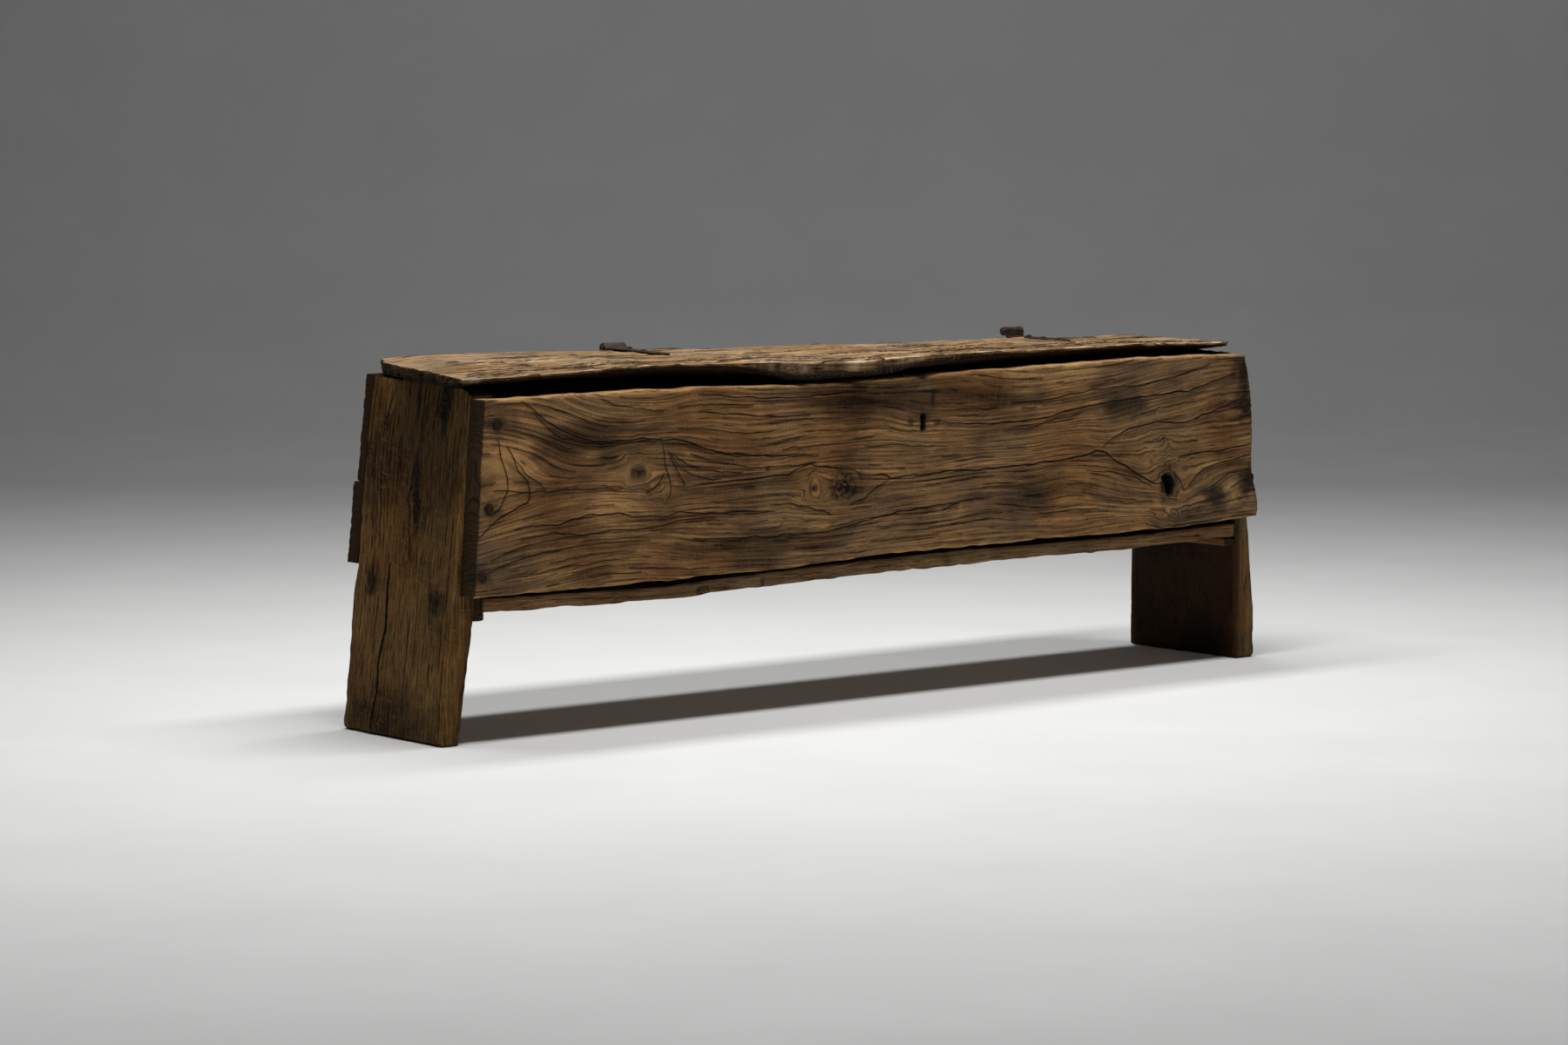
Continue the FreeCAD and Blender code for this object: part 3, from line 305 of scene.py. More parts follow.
@dataclass(frozen=True)
class WoodFinish:
    """Old air-dried hardwood, adze and saw worked, worn by hands and bleached by light.

    Each year's ring is a line of open pores, which fills with dirt and reads as a fine dark line along
    the grain. Drying has opened checks, and the tone drifts from golden to purple-brown.
    """

    name: str
    dark: str
    middle: str
    light: str
    pale: str
    warm: str = "8A5426"
    cool: str = "4E4450"
    deep: str = "150E09"
    end_grain: str = "2B2015"
    ring_mm: float = 10.0
    pore_mm: float = 2.6
    check_mm: float = 11.0
    checks: float = 0.5
    rings: float = 0.6
    dust: str = "76695A"
    saw_marks: float = 0.4
    saw_slant: float = 0.0
    blotches: float = 0.42
    roughness: float = 0.72
    shift: float = 0.0

    def patterns(self, add: AddNode, fields: Nodes) -> Nodes:
        """Adds the noises that the wood is mixed from.

        Args:
            add: Adds a node.
            fields: What the mesh says about each place.

        Returns:
            The noises.
        """
        # Noise drawn out along the grain, by its size in millimetres along and across it and its slant, and
        # even noise by its cells to the metre. Pores and saw scratches are finer than a pixel, so they are
        # drawn a few millimetres wide.
        patterns = {}
        for label, source, along, across, detail, slant in (
            ("drift", "grain", 620.0, 85.0, 2.0, 0.0),
            ("pores", "grain", 34.0, self.pore_mm, 2.0, 0.0),
            ("fibre", "grain", 130.0, self.pore_mm * 1.2, 5.0, 0.0),
            ("streaks", "grain", 380.0, 8.0, 3.0, 0.0),
            ("thin", "grain", 420.0, self.check_mm, 2.0, 0.0),
            ("breaks", "grain", 300.0, self.check_mm * 3, 2.0, 0.0),
            ("saw", "flat", 2.4, 26.0, 3.0, self.saw_slant),
        ):
            scale = (1000 / along, 1000 / across, 1000 / across)
            turn = add("ShaderNodeMapping", {}, {0: fields[source], "Rotation": (0.0, 0.0, slant)})
            given = {0: turn, "Location": (self.shift,) * 3, "Scale": scale}
            given = {0: add("ShaderNodeMapping", {}, given), "Scale": 1.0, "Detail": detail}
            patterns[label] = add("ShaderNodeTexNoise", {}, given).outputs[0]
        for label, scale, detail in (
            ("blotch", 7.5, 4.0),
            ("warmth", 4.2, 3.0),
            ("grit", 260.0, 3.0),
            ("worm", 120.0, 2.0),
            ("speck", 420.0, 1.0),
        ):
            spot = add("ShaderNodeMapping", {}, {0: fields["place"], "Location": (self.shift,) * 3})
            given = {0: spot, "Scale": scale, "Detail": detail}
            patterns[label] = add("ShaderNodeTexNoise", {}, given).outputs[0]
        return patterns

    def masks(self, add: AddNode, fields: Nodes, patterns: Nodes) -> Nodes:
        """Adds what says where each mark of growth, tools and age shows, from 0 to 1.

        Args:
            add: Adds a node.
            fields: What the mesh says about each place.
            patterns: The noises.

        Returns:
            The masks.
        """
        # Rings are level lines of the flow across the grain, shifted a little by the slow drift.
        drift = add("ShaderNodeMath", {"operation": "MULTIPLY"}, {0: patterns["drift"], 1: 5.0})
        given = {0: fields["level"], 1: 1000 / self.ring_mm, 2: drift}
        ring = add("ShaderNodeMath", {"operation": "MULTIPLY_ADD"}, given)
        ring = add("ShaderNodeMath", {"operation": "PINGPONG"}, {0: ring, 1: 0.5})
        # Checks are the level lines of a drawn-out noise, frayed by the fibre and broken where a slower
        # noise is low.
        off_level = add("ShaderNodeMath", {"operation": "SUBTRACT"}, {0: patterns["thin"], 1: 0.5})
        off_level = add("ShaderNodeMath", {"operation": "ABSOLUTE"}, {0: off_level})
        given = {0: patterns["fibre"], 1: 0.16, 2: off_level}
        check_level = add("ShaderNodeMath", {"operation": "MULTIPLY_ADD"}, given)
        pits = add("ShaderNodeTexVoronoi", {}, {"Vector": fields["place"], "Scale": 330.0})
        sources = {
            "ring": (ring, 0.17, 0.02),
            "pores": (patterns["pores"], 0.49, 0.40),
            "cool": (patterns["blotch"], 0.50, 0.70),
            "warm": (patterns["warmth"], 0.46, 0.66),
            "check": (check_level, 0.078, 0.068),
            "breaks": (patterns["breaks"], 0.58 - 0.08 * self.checks, 0.64 - 0.08 * self.checks),
            "pits": (pits, 0.42, 0.18),
            "worm": (patterns["worm"], 0.46, 0.54),
            "faint": (patterns["blotch"], 0.60, 0.42),
            "dust": (patterns["warmth"], 0.50, 0.36),
            "speck": (patterns["speck"], 0.68, 0.74),
            "saw": (patterns["saw"], 0.56, 0.70),
            "grit": (patterns["grit"], 0.30, 0.70),
        }
        strengths = {}
        for label in ("crack", "branch"):
            side, near, strengths[label] = add("ShaderNodeSeparateXYZ", {}, {0: fields[label]}).outputs
            side = add("ShaderNodeMath", {"operation": "ABSOLUTE"}, {0: side})
            given = {0: patterns["grit"], 1: 1.0, 2: side}
            jagged = add("ShaderNodeMath", {"operation": "MULTIPLY_ADD"}, given)
            sources[label] = (jagged, 1.55, 1.25)
            sources[f"{label}_near"] = (near, 0.40, 0.55)
            sources[f"{label}_dirt"] = (near, 0.35, 0.95)
        steps = {}
        for label, (source, low, high) in sources.items():
            settings = {"interpolation_type": "SMOOTHSTEP"}
            given = {"Value": source, "From Min": low, "From Max": high}
            steps[label] = add("ShaderNodeMapRange", settings, given)
        products = {"ring_arc": steps["ring"], "worm": steps["worm"]}
        for label, source, factor in (
            ("crack", "crack", steps["crack_near"]),
            ("crack", "crack", strengths["crack"]),
            ("branch", "branch", steps["branch_near"]),
            ("branch", "branch", strengths["branch"]),
            ("check", "check", steps["breaks"]),
            ("saw", "saw", steps["faint"]),
            ("dust", "dust", steps["grit"]),
            ("ring", "ring", steps["pores"]),
            ("worm", "worm", fields["stain"]),
            ("ring_arc", "ring", fields["end"]),
            ("end_pits", "pits", fields["end"]),
        ):
            first = products.get(label, steps[source])
            products[label] = add("ShaderNodeMath", {"operation": "MULTIPLY"}, {0: first, 1: factor})
        return steps | products | {"ring_wave": ring}

    def colour(self, add: AddNode, fields: Nodes, patterns: Nodes, masks: Nodes) -> bpy.types.NodeSocket:
        """Adds the colour.

        Args:
            add: Adds a node.
            fields: What the mesh says about each place.
            patterns: The noises.
            masks: Where each mark shows.

        Returns:
            The colour.
        """
        tone = 0.0
        for part, weight in (
            (patterns["streaks"], 0.24),
            (masks["ring_wave"], 0.12),
            (patterns["fibre"], 0.54),
            (patterns["blotch"], self.blotches),
            # The shade channel lowers the tone: painted shade on sides and rear, and darker patches of tone.
            (fields["shade"], -0.22),
            (fields["pale"], 0.20),
        ):
            tone = add("ShaderNodeMath", {"operation": "MULTIPLY_ADD"}, {0: part, 1: weight, 2: tone})
        stops = ((0.50, self.dark), (0.65, self.middle), (0.75, self.light), (0.87, self.pale))
        colour = add("ShaderNodeValToRGB", {"stops": stops}, {"Fac": tone}).outputs[0]
        # Colours laid over one another: drifts of tone, dirt in pores, the shade channel, which holds painted
        # shade on sides and rear and darker patches of tone, checks and end grain, knots burnt brown,
        # worm-eaten spots, the blue-black that iron leaves in oak, which an opening's walls get too as
        # painted shade, and the dark of the open cracks. Checks, worm holes and cracks are near-black as dirt
        # and painted shade in their depth.
        for weight, factor, blend, code in (
            (0.30, masks["warm"], "MIX", self.warm),
            (0.45, masks["cool"], "MULTIPLY", self.cool),
            (0.20, masks["pores"], "MULTIPLY", self.dark),
            (0.40, masks["dust"], "MIX", self.dust),
            # The shade channel is multiplied in after the dust, so dust lying in painted shade darkens with
            # it.
            (0.60, fields["shade"], "MULTIPLY", "5A4E42"),
            (0.45, masks["crack_dirt"], "MULTIPLY", self.dark),
            (0.45, masks["branch_dirt"], "MULTIPLY", self.dark),
            (0.25, masks["grit"], "MULTIPLY", self.middle),
            (self.rings, masks["ring"], "MULTIPLY", self.deep),
            (0.85, masks["check"], "MIX", self.deep),
            (0.22 * self.saw_marks, masks["saw"], "MIX", self.pale),
            (0.22, masks["speck"], "MIX", self.pale),
            (0.85, fields["end"], "MIX", self.end_grain),
            (0.55, masks["ring_arc"], "MIX", self.deep),
            (0.60, fields["knot"], "MIX", "2A190E"),
            (0.45, fields["stain"], "MULTIPLY", "3A2A1C"),
            (0.95, masks["worm"], "MIX", "0C0805"),
            (0.88, fields["iron_stain"], "MIX", "121314"),
            (0.97, masks["crack"], "MIX", "070504"),
            (0.97, masks["branch"], "MIX", "070504"),
        ):
            settings = {"operation": "MULTIPLY", "use_clamp": True}
            share = add("ShaderNodeMath", settings, {0: factor, 1: weight})
            settings = {"data_type": "RGBA", "blend_type": blend}
            colour = add("ShaderNodeMix", settings, {0: share, 6: colour, 7: linear(code)}).outputs[2]
        return colour

    def relief(self, add: AddNode, patterns: Nodes, masks: Nodes) -> bpy.types.Node:
        """Adds the fine relief, too small for the mesh.

        Args:
            add: Adds a node.
            patterns: The noises.
            masks: Where each mark shows.

        Returns:
            The node that tilts the surface.
        """
        height = 0.0
        for part, weight in (
            (masks["pores"], -0.30),
            (patterns["fibre"], 0.90),
            (patterns["streaks"], 0.40),
            (patterns["grit"], 0.30),
            (masks["ring"], -0.50),
            (masks["check"], -1.00),
            (masks["crack"], -1.60),
            (masks["branch"], -1.60),
            (masks["worm"], -1.40),
            (masks["saw"], self.saw_marks * 0.35),
            (masks["end_pits"], -0.60),
        ):
            height = add("ShaderNodeMath", {"operation": "MULTIPLY_ADD"}, {0: part, 1: weight, 2: height})
        return add("ShaderNodeBump", {}, {"Height": height, "Strength": 0.85, "Distance": 0.0026})

    def material(self) -> bpy.types.Material:
        """Builds the material.

        Returns:
            The finished material.
        """
        material, add = new_material(self.name)
        fields = {"place": add("ShaderNodeTexCoord").outputs["Object"]}
        for label in ("grain", "flat", "crack", "branch", "marks", "wear"):
            fields[label] = add("ShaderNodeAttribute", {"attribute_name": label}).outputs["Vector"]
        for source, labels in {"marks": "knot stain iron_stain", "wear": "pale end shade"}.items():
            parts = add("ShaderNodeSeparateXYZ", {}, {0: fields[source]}).outputs
            fields.update(zip(labels.split(), parts))
        fields["level"] = add("ShaderNodeSeparateXYZ", {}, {0: fields["grain"]}).outputs["Y"]
        patterns = self.patterns(add, fields)
        masks = self.masks(add, fields, patterns)
        given = {"Base Color": self.colour(add, fields, patterns, masks), "Roughness": self.roughness}
        # Dry wood under dust: it mirrors the light far less than a varnished board does.
        given |= {"Normal": self.relief(add, patterns, masks), "IOR": 1.45, "Specular IOR Level": 0.12}
        surface = add("ShaderNodeBsdfPrincipled", {}, given)
        add("ShaderNodeOutputMaterial", {}, {"Surface": surface})
        return material


@dataclass(frozen=True)
class IronFinish:
    """Wrought iron, hammered at the forge and left to rust under wax and dirt.

    Dark scale gives it a dull grey-brown skin, rust shows red-brown in its hollows, and rubbed high
    spots shine a little.
    """

    name: str
    scale: str
    bare: str
    rust: str
    rust_share: float
    metallic: float
    roughness: float = 0.55
    specular: float = 0.5

    def material(self) -> bpy.types.Material:
        """Builds the material.

        Returns:
            The finished material.
        """
        material, add = new_material(self.name)
        place = add("ShaderNodeTexCoord").outputs["Object"]
        # Hammer marks are about 9 mm across, rust blooms about 6 mm, pitting under 1 mm.
        hammer, bloom, pits = (
            add("ShaderNodeTexNoise", {}, {"Vector": place, "Scale": scale, "Detail": detail})
            for scale, detail in ((110.0, 2.0), (170.0, 6.0), (1300.0, 4.0))
        )
        skin = add("ShaderNodeValToRGB", {"stops": ((0.38, self.scale), (0.68, self.bare))}, {"Fac": hammer})
        low = 0.62 - 0.25 * self.rust_share
        share = add("ShaderNodeMapRange", {}, {"Value": bloom, "From Min": low, "From Max": low + 0.16})
        given = {0: share, 6: skin, 7: linear(self.rust)}
        colour = add("ShaderNodeMix", {"data_type": "RGBA"}, given).outputs[2]
        high = add("ShaderNodeMath", {"operation": "MULTIPLY_ADD"}, {0: pits, 1: 0.35, 2: hammer})
        bump = add("ShaderNodeBump", {}, {"Height": high, "Strength": 0.7, "Distance": 0.0012})
        # Rust is a matt powder and no metal, so its share lifts the roughness and takes the metal away.
        gloss, metal = (
            add("ShaderNodeMapRange", {}, {"Value": share, "To Min": bare, "To Max": rusty})
            for bare, rusty in ((self.roughness, 0.92), (self.metallic, 0.0))
        )
        given = {"Base Color": colour, "Roughness": gloss, "Metallic": metal, "Normal": bump}
        surface = add("ShaderNodeBsdfPrincipled", {}, given | {"Specular IOR Level": self.specular})
        add("ShaderNodeOutputMaterial", {}, {"Surface": surface})
        return material


# ---- Planks ----

# How far apart the points of a crack lie where it is opened, and where it only leads the grain.
CRACK_STEP = 9.0
GRAIN_STEP = 22.0
# How far from a crack its dirt reaches.
CRACK_REACH = 6.0
# How many vertices at a time are measured against the cracks that lead the grain.
BATCH = 8000


@dataclass(frozen=True)
class Crack:
    """A drying crack, along a path seen on the plank's face."""

    path: tuple[Place, ...]
    width: float = 1.1
    depth: float = 2.5
    strength: float = 1.0

    def dense(self, step: float, seed: int) -> np.ndarray:
        """The path as close points, a little jagged.

        Args:
            step: Distance between the points.
            seed: Picks the jags.

        Returns:
            The points.
        """
        corners = np.array(self.path, float)
        length = distances(corners)[-1]
        place = np.linspace(0, length, max(int(length / step), 2) + 1)
        points = on_path(corners, place)
        ends = ease(place, 0, 12) * ease(place, length, length - 12)
        points[:, 1] += rough(seed, place / 22) * 1.5 * ends
        points[:, 0] += rough(seed + 5, place / 17) * 0.8 * ends
        return points


@dataclass(frozen=True)
class Knot:
    """A knot, round which the grain flows."""

    place: Place
    radius: float
    stretch: float = 1.4
    dark: float = 1.0


@dataclass(frozen=True)
class Patch:
    """A soft-edged patch of another colour on the plank's face."""

    place: Place
    size: Place
    dark: float = 0.0
    iron: float = 0.0
    shade: float = 0.0
    pale: float = 0.0


@dataclass
class Plank:
    """A worn plank as one closed skin over a grid, with cracks, knots and rounded edges.

    Shares run along the plank, across it and through it, from the face that is seen to the one behind.
    The outlines are broken lines: start and end over the place across, the rest over the place along.
    They are evened out over twice smooth, and those that ragged names are torn that deep. Fine cracks
    crowd to the low edge where check_bias is above 1. The lips say how far the low and the high edge are
    bleached. The painted side and rear shades are painted shade on the plank's sides and on the face behind,
    and painted light there where they are negative.
    """

    node: str
    outlines: dict[str, tuple[Place, ...]]
    axes: tuple[int, int, int]
    cells: tuple[int, int, int]
    seed: int
    body: Body = Body.BOX
    slot: Slot = Slot.WOOD
    cracks: tuple[Crack, ...] = ()
    knots: tuple[Knot, ...] = ()
    patches: tuple[Patch, ...] = ()
    openings: tuple[tuple[Place, ...], ...] = ()
    edge_radius: float = 2.2
    edge_wear: float = 2.0
    end_radius: float = 2.0
    fray: float = 1.0
    swell: float = 0.9
    fibre: float = 0.30
    # Painted shade on the sides and on the face behind; a negative value paints light there instead.
    painted_side_shade: float = 0.2
    painted_rear_shade: float = 0.4
    lips: tuple[float, float] = (0.0, 0.0)
    smooth: float = 0.0
    ragged: dict[str, float] = field(default_factory=dict)
    checks: int = 0
    check_width: float = 0.65
    check_bias: float = 1.0

    def size(self) -> Point:
        """The plank's length, width and thickness at its middle."""
        corners = self.mapping(*np.array([(0, 0.5, 0.5), (1, 0.5, 0.5), (0.5, 0, 0.5), (0.5, 1, 0.5)]).T)
        faces = self.mapping(*np.array([(0.5, 0.5, 0), (0.5, 0.5, 1)]).T)
        pairs = (corners[:2], corners[2:], faces)
        return tuple(float(np.linalg.norm(pair[1] - pair[0])) for pair in pairs)

    def outline(self, name: str, place: np.ndarray) -> np.ndarray:
        """Reads one of the plank's outlines.

        Args:
            name: Which outline.
            place: Where to read it.

        Returns:
            Its values there.
        """
        spots = np.asarray(place)[None] + np.linspace(-self.smooth, self.smooth, 5)[:, None]
        torn = 0
        if name in self.ragged:
            torn = self.ragged[name] * rough(self.seed + 60, spots[2] / 55, 0.5)
        return np.interp(spots, *zip(*self.outlines[name])).mean(axis=0) + torn

    def mapping(self, s: np.ndarray, t: np.ndarray, r: np.ndarray) -> np.ndarray:
        """Places of shares of the plank.

        Args:
            s: Shares along the plank.
            t: Shares across it.
            r: Shares through it.

        Returns:
            The places, in millimetres.
        """
        across = np.full(len(s), np.mean([self.outlines["low"][0][1], self.outlines["high"][0][1]]))
        for _ in range(3):
            first, last = self.outline("start", across), self.outline("end", across)
            along = first + s * (last - first)
            low, high = self.outline("low", along), self.outline("high", along)
            across = low + t * (high - low)
        front, back = self.faces(along, across, t)
        places = np.empty((len(s), 3))
        places[:, self.axes] = np.stack([along, across, front + r * (back - front)], axis=1)
        return places

    def faces(self, along: np.ndarray, across: np.ndarray, t: np.ndarray) -> Pair:
        """Where the seen face and the one behind it lie, for places and for shares t of the width."""
        return self.outline("front", along), self.outline("back", along)

    def face(self, points: np.ndarray) -> tuple[np.ndarray, np.ndarray, np.ndarray]:
        """Places on the plank as coordinates along, across and through it."""
        return tuple(points[:, axis] for axis in self.axes)

    def wear_radius(self, along: np.ndarray, high: np.ndarray, rear: np.ndarray) -> np.ndarray:
        """How round the long edges are.

        Args:
            along: Place along the plank.
            high: True at the edge where the share across is 1.
            rear: True at the edges of the face behind.

        Returns:
            The radius.
        """
        shift = high * 31.7 + rear * 63.1
        worn = np.maximum(rough(self.seed + 11, along / 38 + shift, shift), 0)
        uneven = 1 + 0.4 * noise(self.seed + 12, along / 90 + shift)
        return self.edge_radius * uneven + self.edge_wear * worn

    def softened(self, shares: np.ndarray) -> np.ndarray:
        """Shares with the plank's edges and ends rounded and its ends frayed.

        Args:
            shares: Shares of the vertices of a sharp-edged box.

        Returns:
            The new shares.
        """
        length, width, depth = self.size()
        s, t, r = shares.T
        high, rear, far = t > 0.5, r > 0.5, s > 0.5
        across = np.minimum(t, 1 - t) * width
        through = np.minimum(r, 1 - r) * depth
        along = np.minimum(s, 1 - s) * length
        radius = np.minimum(self.wear_radius(s * length, high, rear), min(width, depth) * 0.45)
        across, through = self.rounded(across, through, radius)
        uneven = 1 + 0.5 * noise(self.seed + 13, t * width / 25, far)
        end = np.minimum(self.end_radius * uneven, depth * 0.4)
        lateral = np.minimum(across, through)
        new_along, new_lateral = self.rounded(along, np.where(along > 0, 0, lateral), end)
        inset = np.where(along > 0, new_lateral, np.maximum(new_lateral - lateral, 0))
        nearer = across < through
        across = np.where(nearer | (along > 0), across + inset * (1 - across / (width / 2)), across)
        through = np.where(~nearer | (along > 0), through + inset * (1 - through / (depth / 2)), through)
        ragged = rough(self.seed + 14, t * width / 9, r * depth / 7 + far * 9) * 0.5 + 0.5
        new_along = new_along + self.fray * ragged * ease(along, 20, 0)
        return np.stack(
            [
                np.where(far, 1 - new_along / length, new_along / length),
                np.where(high, 1 - across / width, across / width),
                np.where(rear, 1 - through / depth, through / depth),
            ],
            axis=1,
        )

    @staticmethod
    def rounded(first: np.ndarray, second: np.ndarray, radius: np.ndarray) -> Pair:
        """Bends the skin round an edge.

        Args:
            first: Distance to the edge on one face, 0 on the other face.
            second: Distance to the edge on the other face, 0 on the first.
            radius: The edge's radius.

        Returns:
            The two distances on the rounded edge.
        """
        on_first = (second <= first) & (first < radius)
        on_second = (first < second) & (second < radius)
        turn_first, turn_second = ((1 - distance / radius) * (math.pi / 4) for distance in (first, second))
        new_first = np.where(on_first, radius * (1 - np.sin(turn_first)), first)
        new_second = np.where(on_first, np.maximum(radius * (1 - np.cos(turn_first)), second), second)
        new_second = np.where(on_second, radius * (1 - np.sin(turn_second)), new_second)
        new_first = np.where(on_second, np.maximum(radius * (1 - np.cos(turn_second)), first), new_first)
        return new_first, new_second

    def traced(self, number: int, crack: Crack, step: float) -> np.ndarray:
        """A crack's path as close points, its jags picked by its number."""
        return crack.dense(step, self.seed * 7 + number * 13)

    def fine_cracks(self) -> tuple[Crack, ...]:
        """Short drying cracks along the grain lines, clear of the measured ones and of one another.

        Returns:
            The cracks.
        """
        picks = np.random.default_rng(self.seed + 100)
        shares = picks.uniform(0.01, 0.99, (self.checks, 3))
        shares[:, 1:] = shares[:, 1:] ** self.check_bias * (1, 0)
        along, across, _ = self.face(self.mapping(*shares.T))
        stops = 24
        path = [np.stack([along, across], axis=1)]
        for _ in range(stops):
            level = self.flow(along, across)
            climb = (self.flow(along + 3, across) - level) / 3
            spread = (self.flow(along, across + 3) - level) / 3
            slope = np.clip(climb / np.where(abs(spread) > 0.2, spread, 1), -0.6, 0.6)
            along, across = along + CRACK_STEP, across - CRACK_STEP * slope
            path.append(np.stack([along, across], axis=1))
        paths = np.stack(path, axis=1)
        kept = [self.traced(number, crack, CRACK_STEP) for number, crack in enumerate(self.cracks)]
        apart, found = 7.5, []
        for line in paths:
            line = line[: 3 + int(picks.random() ** 1.4 * (stops - 2))]
            strength, wide = picks.uniform(0.55, 1.0), self.check_width * picks.uniform(0.7, 1.5)
            taken = np.concatenate(kept) if kept else np.full((1, 2), 1e6)
            if np.linalg.norm(taken[:, None] - line, axis=2).min() > apart:
                kept.append(line)
                found.append(Crack(tuple(map(tuple, line)), wide, wide * 1.8, strength))
        return tuple(found)

    def crack_fields(self, along: np.ndarray, across: np.ndarray) -> Pair:
        """Distances to the nearest cracks, in two sets, so that cracks side by side stay apart.

        Args:
            along: Places along the plank.
            across: Places across it.

        Returns:
            For each set and place the signed distance in crack widths, how near it is, the strength and
            the depth.
        """
        far_off, apart = 9.0, 11.0
        best = np.full((2, len(along)), np.inf)
        fields = np.zeros((2, len(along), 4))
        fields[:, :, 0] = far_off
        first_set = np.empty((0, 2))
        for number, crack in enumerate(self.cracks + self.fine_cracks()):
            points = self.traced(number, crack, CRACK_STEP)
            beside = np.linalg.norm(first_set[:, None] - points, axis=2).min(initial=np.inf) < apart
            if not beside:
                first_set = np.concatenate([first_set, points])
            nearest, values = best[int(beside)], fields[int(beside)]
            count = len(points) - 1
            for index, (start, end) in enumerate(zip(points[:-1], points[1:])):
                low = np.minimum(start, end) - CRACK_REACH
                high = np.maximum(start, end) + CRACK_REACH
                inside = np.flatnonzero(
                    (along > low[0]) & (along < high[0]) & (across > low[1]) & (across < high[1])
                )
                if not inside.size:
                    continue
                run = end - start
                place = np.stack([along[inside], across[inside]], axis=1) - start
                share = np.clip(place @ run / (run @ run), 0, 1)
                away = place - share[:, None] * run
                distance = np.hypot(away[:, 0], away[:, 1])
                side = np.sign(run[0] * place[:, 1] - run[1] * place[:, 0])
                position = (index + share) / count
                taper = 0.35 + 0.65 * np.sqrt(np.clip(np.minimum(position, 1 - position) * 6, 0, 1))
                wide = crack.width * taper * (1 + 0.35 * noise(self.seed + number, position * count / 2))
                depth = crack.depth * taper * np.exp(-((distance / (wide + 1.2)) ** 2))
                closer = distance < nearest[inside]
                chosen = inside[closer]
                nearest[chosen] = distance[closer]
                near = np.clip(1 - distance / CRACK_REACH, 0, 1)
                strength = np.full(len(inside), crack.strength)
                values[chosen] = np.stack([side * distance / wide, near, strength, depth], axis=1)[closer]
        return fields[0], fields[1]

    def flow(self, along: np.ndarray, across: np.ndarray) -> np.ndarray:
        """The grain's own coordinate across the plank, level along each grain line.

        Args:
            along: Places along the plank.
            across: Places across it.

        Returns:
            The coordinate, in millimetres.
        """
        samples = []
        for number, crack in enumerate(self.cracks):
            points = self.traced(number, crack, GRAIN_STEP)
            samples.append(np.column_stack([points, points[:, 1] - points[:, 1].mean()]))
        level = across + rough(self.seed + 21, along / 420, across / 160) * 9
        if samples:
            table = np.concatenate(samples)
            shift = np.zeros(len(along))
            for start in range(0, len(along), BATCH):
                part = slice(start, start + BATCH)
                beyond = (along[part, None] - table[:, 0]) / 75
                aside = (across[part, None] - table[:, 1]) / 32
                near = np.exp(-(beyond**2) - aside**2)
                shift[part] = near @ table[:, 2] / (near.sum(axis=1) + 0.25)
            level = level - shift
        for number, knot in enumerate(self.knots):
            x = (along - knot.place[0]) / knot.stretch
            y = across - knot.place[1]
            uneven = rough(self.seed + 50 + number, x / knot.radius * 0.8, y / knot.radius * 0.8)
            reach = np.hypot(x, y) * (1 + 0.35 * uneven)
            outer = np.maximum(reach, knot.radius)
            bend = np.exp(-((np.maximum(reach - knot.radius, 0) / (knot.radius * 2.4)) ** 2))
            level = level - y * (knot.radius / outer) ** 2 * bend
            level = level + np.where(reach < knot.radius, (knot.radius - reach) * 1.6, 0)
        return level

    def marks(self, along: np.ndarray, across: np.ndarray) -> Pair:
        """Knots, stains, bleaching and shading on the face.

        Args:
            along: Places along the plank.
            across: Places across it.

        Returns:
            The two sets of vectors that the wood finish reads as marks, and as wear with painted shade.
        """
        marks, wear = np.zeros((len(along), 3)), np.zeros((len(along), 3))
        for knot in self.knots:
            reach = np.hypot((along - knot.place[0]) / knot.stretch, across - knot.place[1])
            marks[:, 0] += knot.dark * ease(reach, knot.radius * 1.05, knot.radius * 0.35)
        for number, patch in enumerate(self.patches):
            long, wide = patch.size
            uneven = 1 + 0.35 * rough(self.seed + 40 + number, along / long * 2, across / wide * 2)
            reach = np.hypot((along - patch.place[0]) / long, (across - patch.place[1]) / wide)
            soft = ease(reach, 1.15 * uneven, 0.25 * uneven)
            marks[:, 1] += patch.dark * soft
            marks[:, 2] += patch.iron * soft
            wear[:, 0] += patch.pale * soft
            wear[:, 2] += patch.shade * soft
        return np.clip(marks, 0, 1), np.clip(wear, -1, 1)

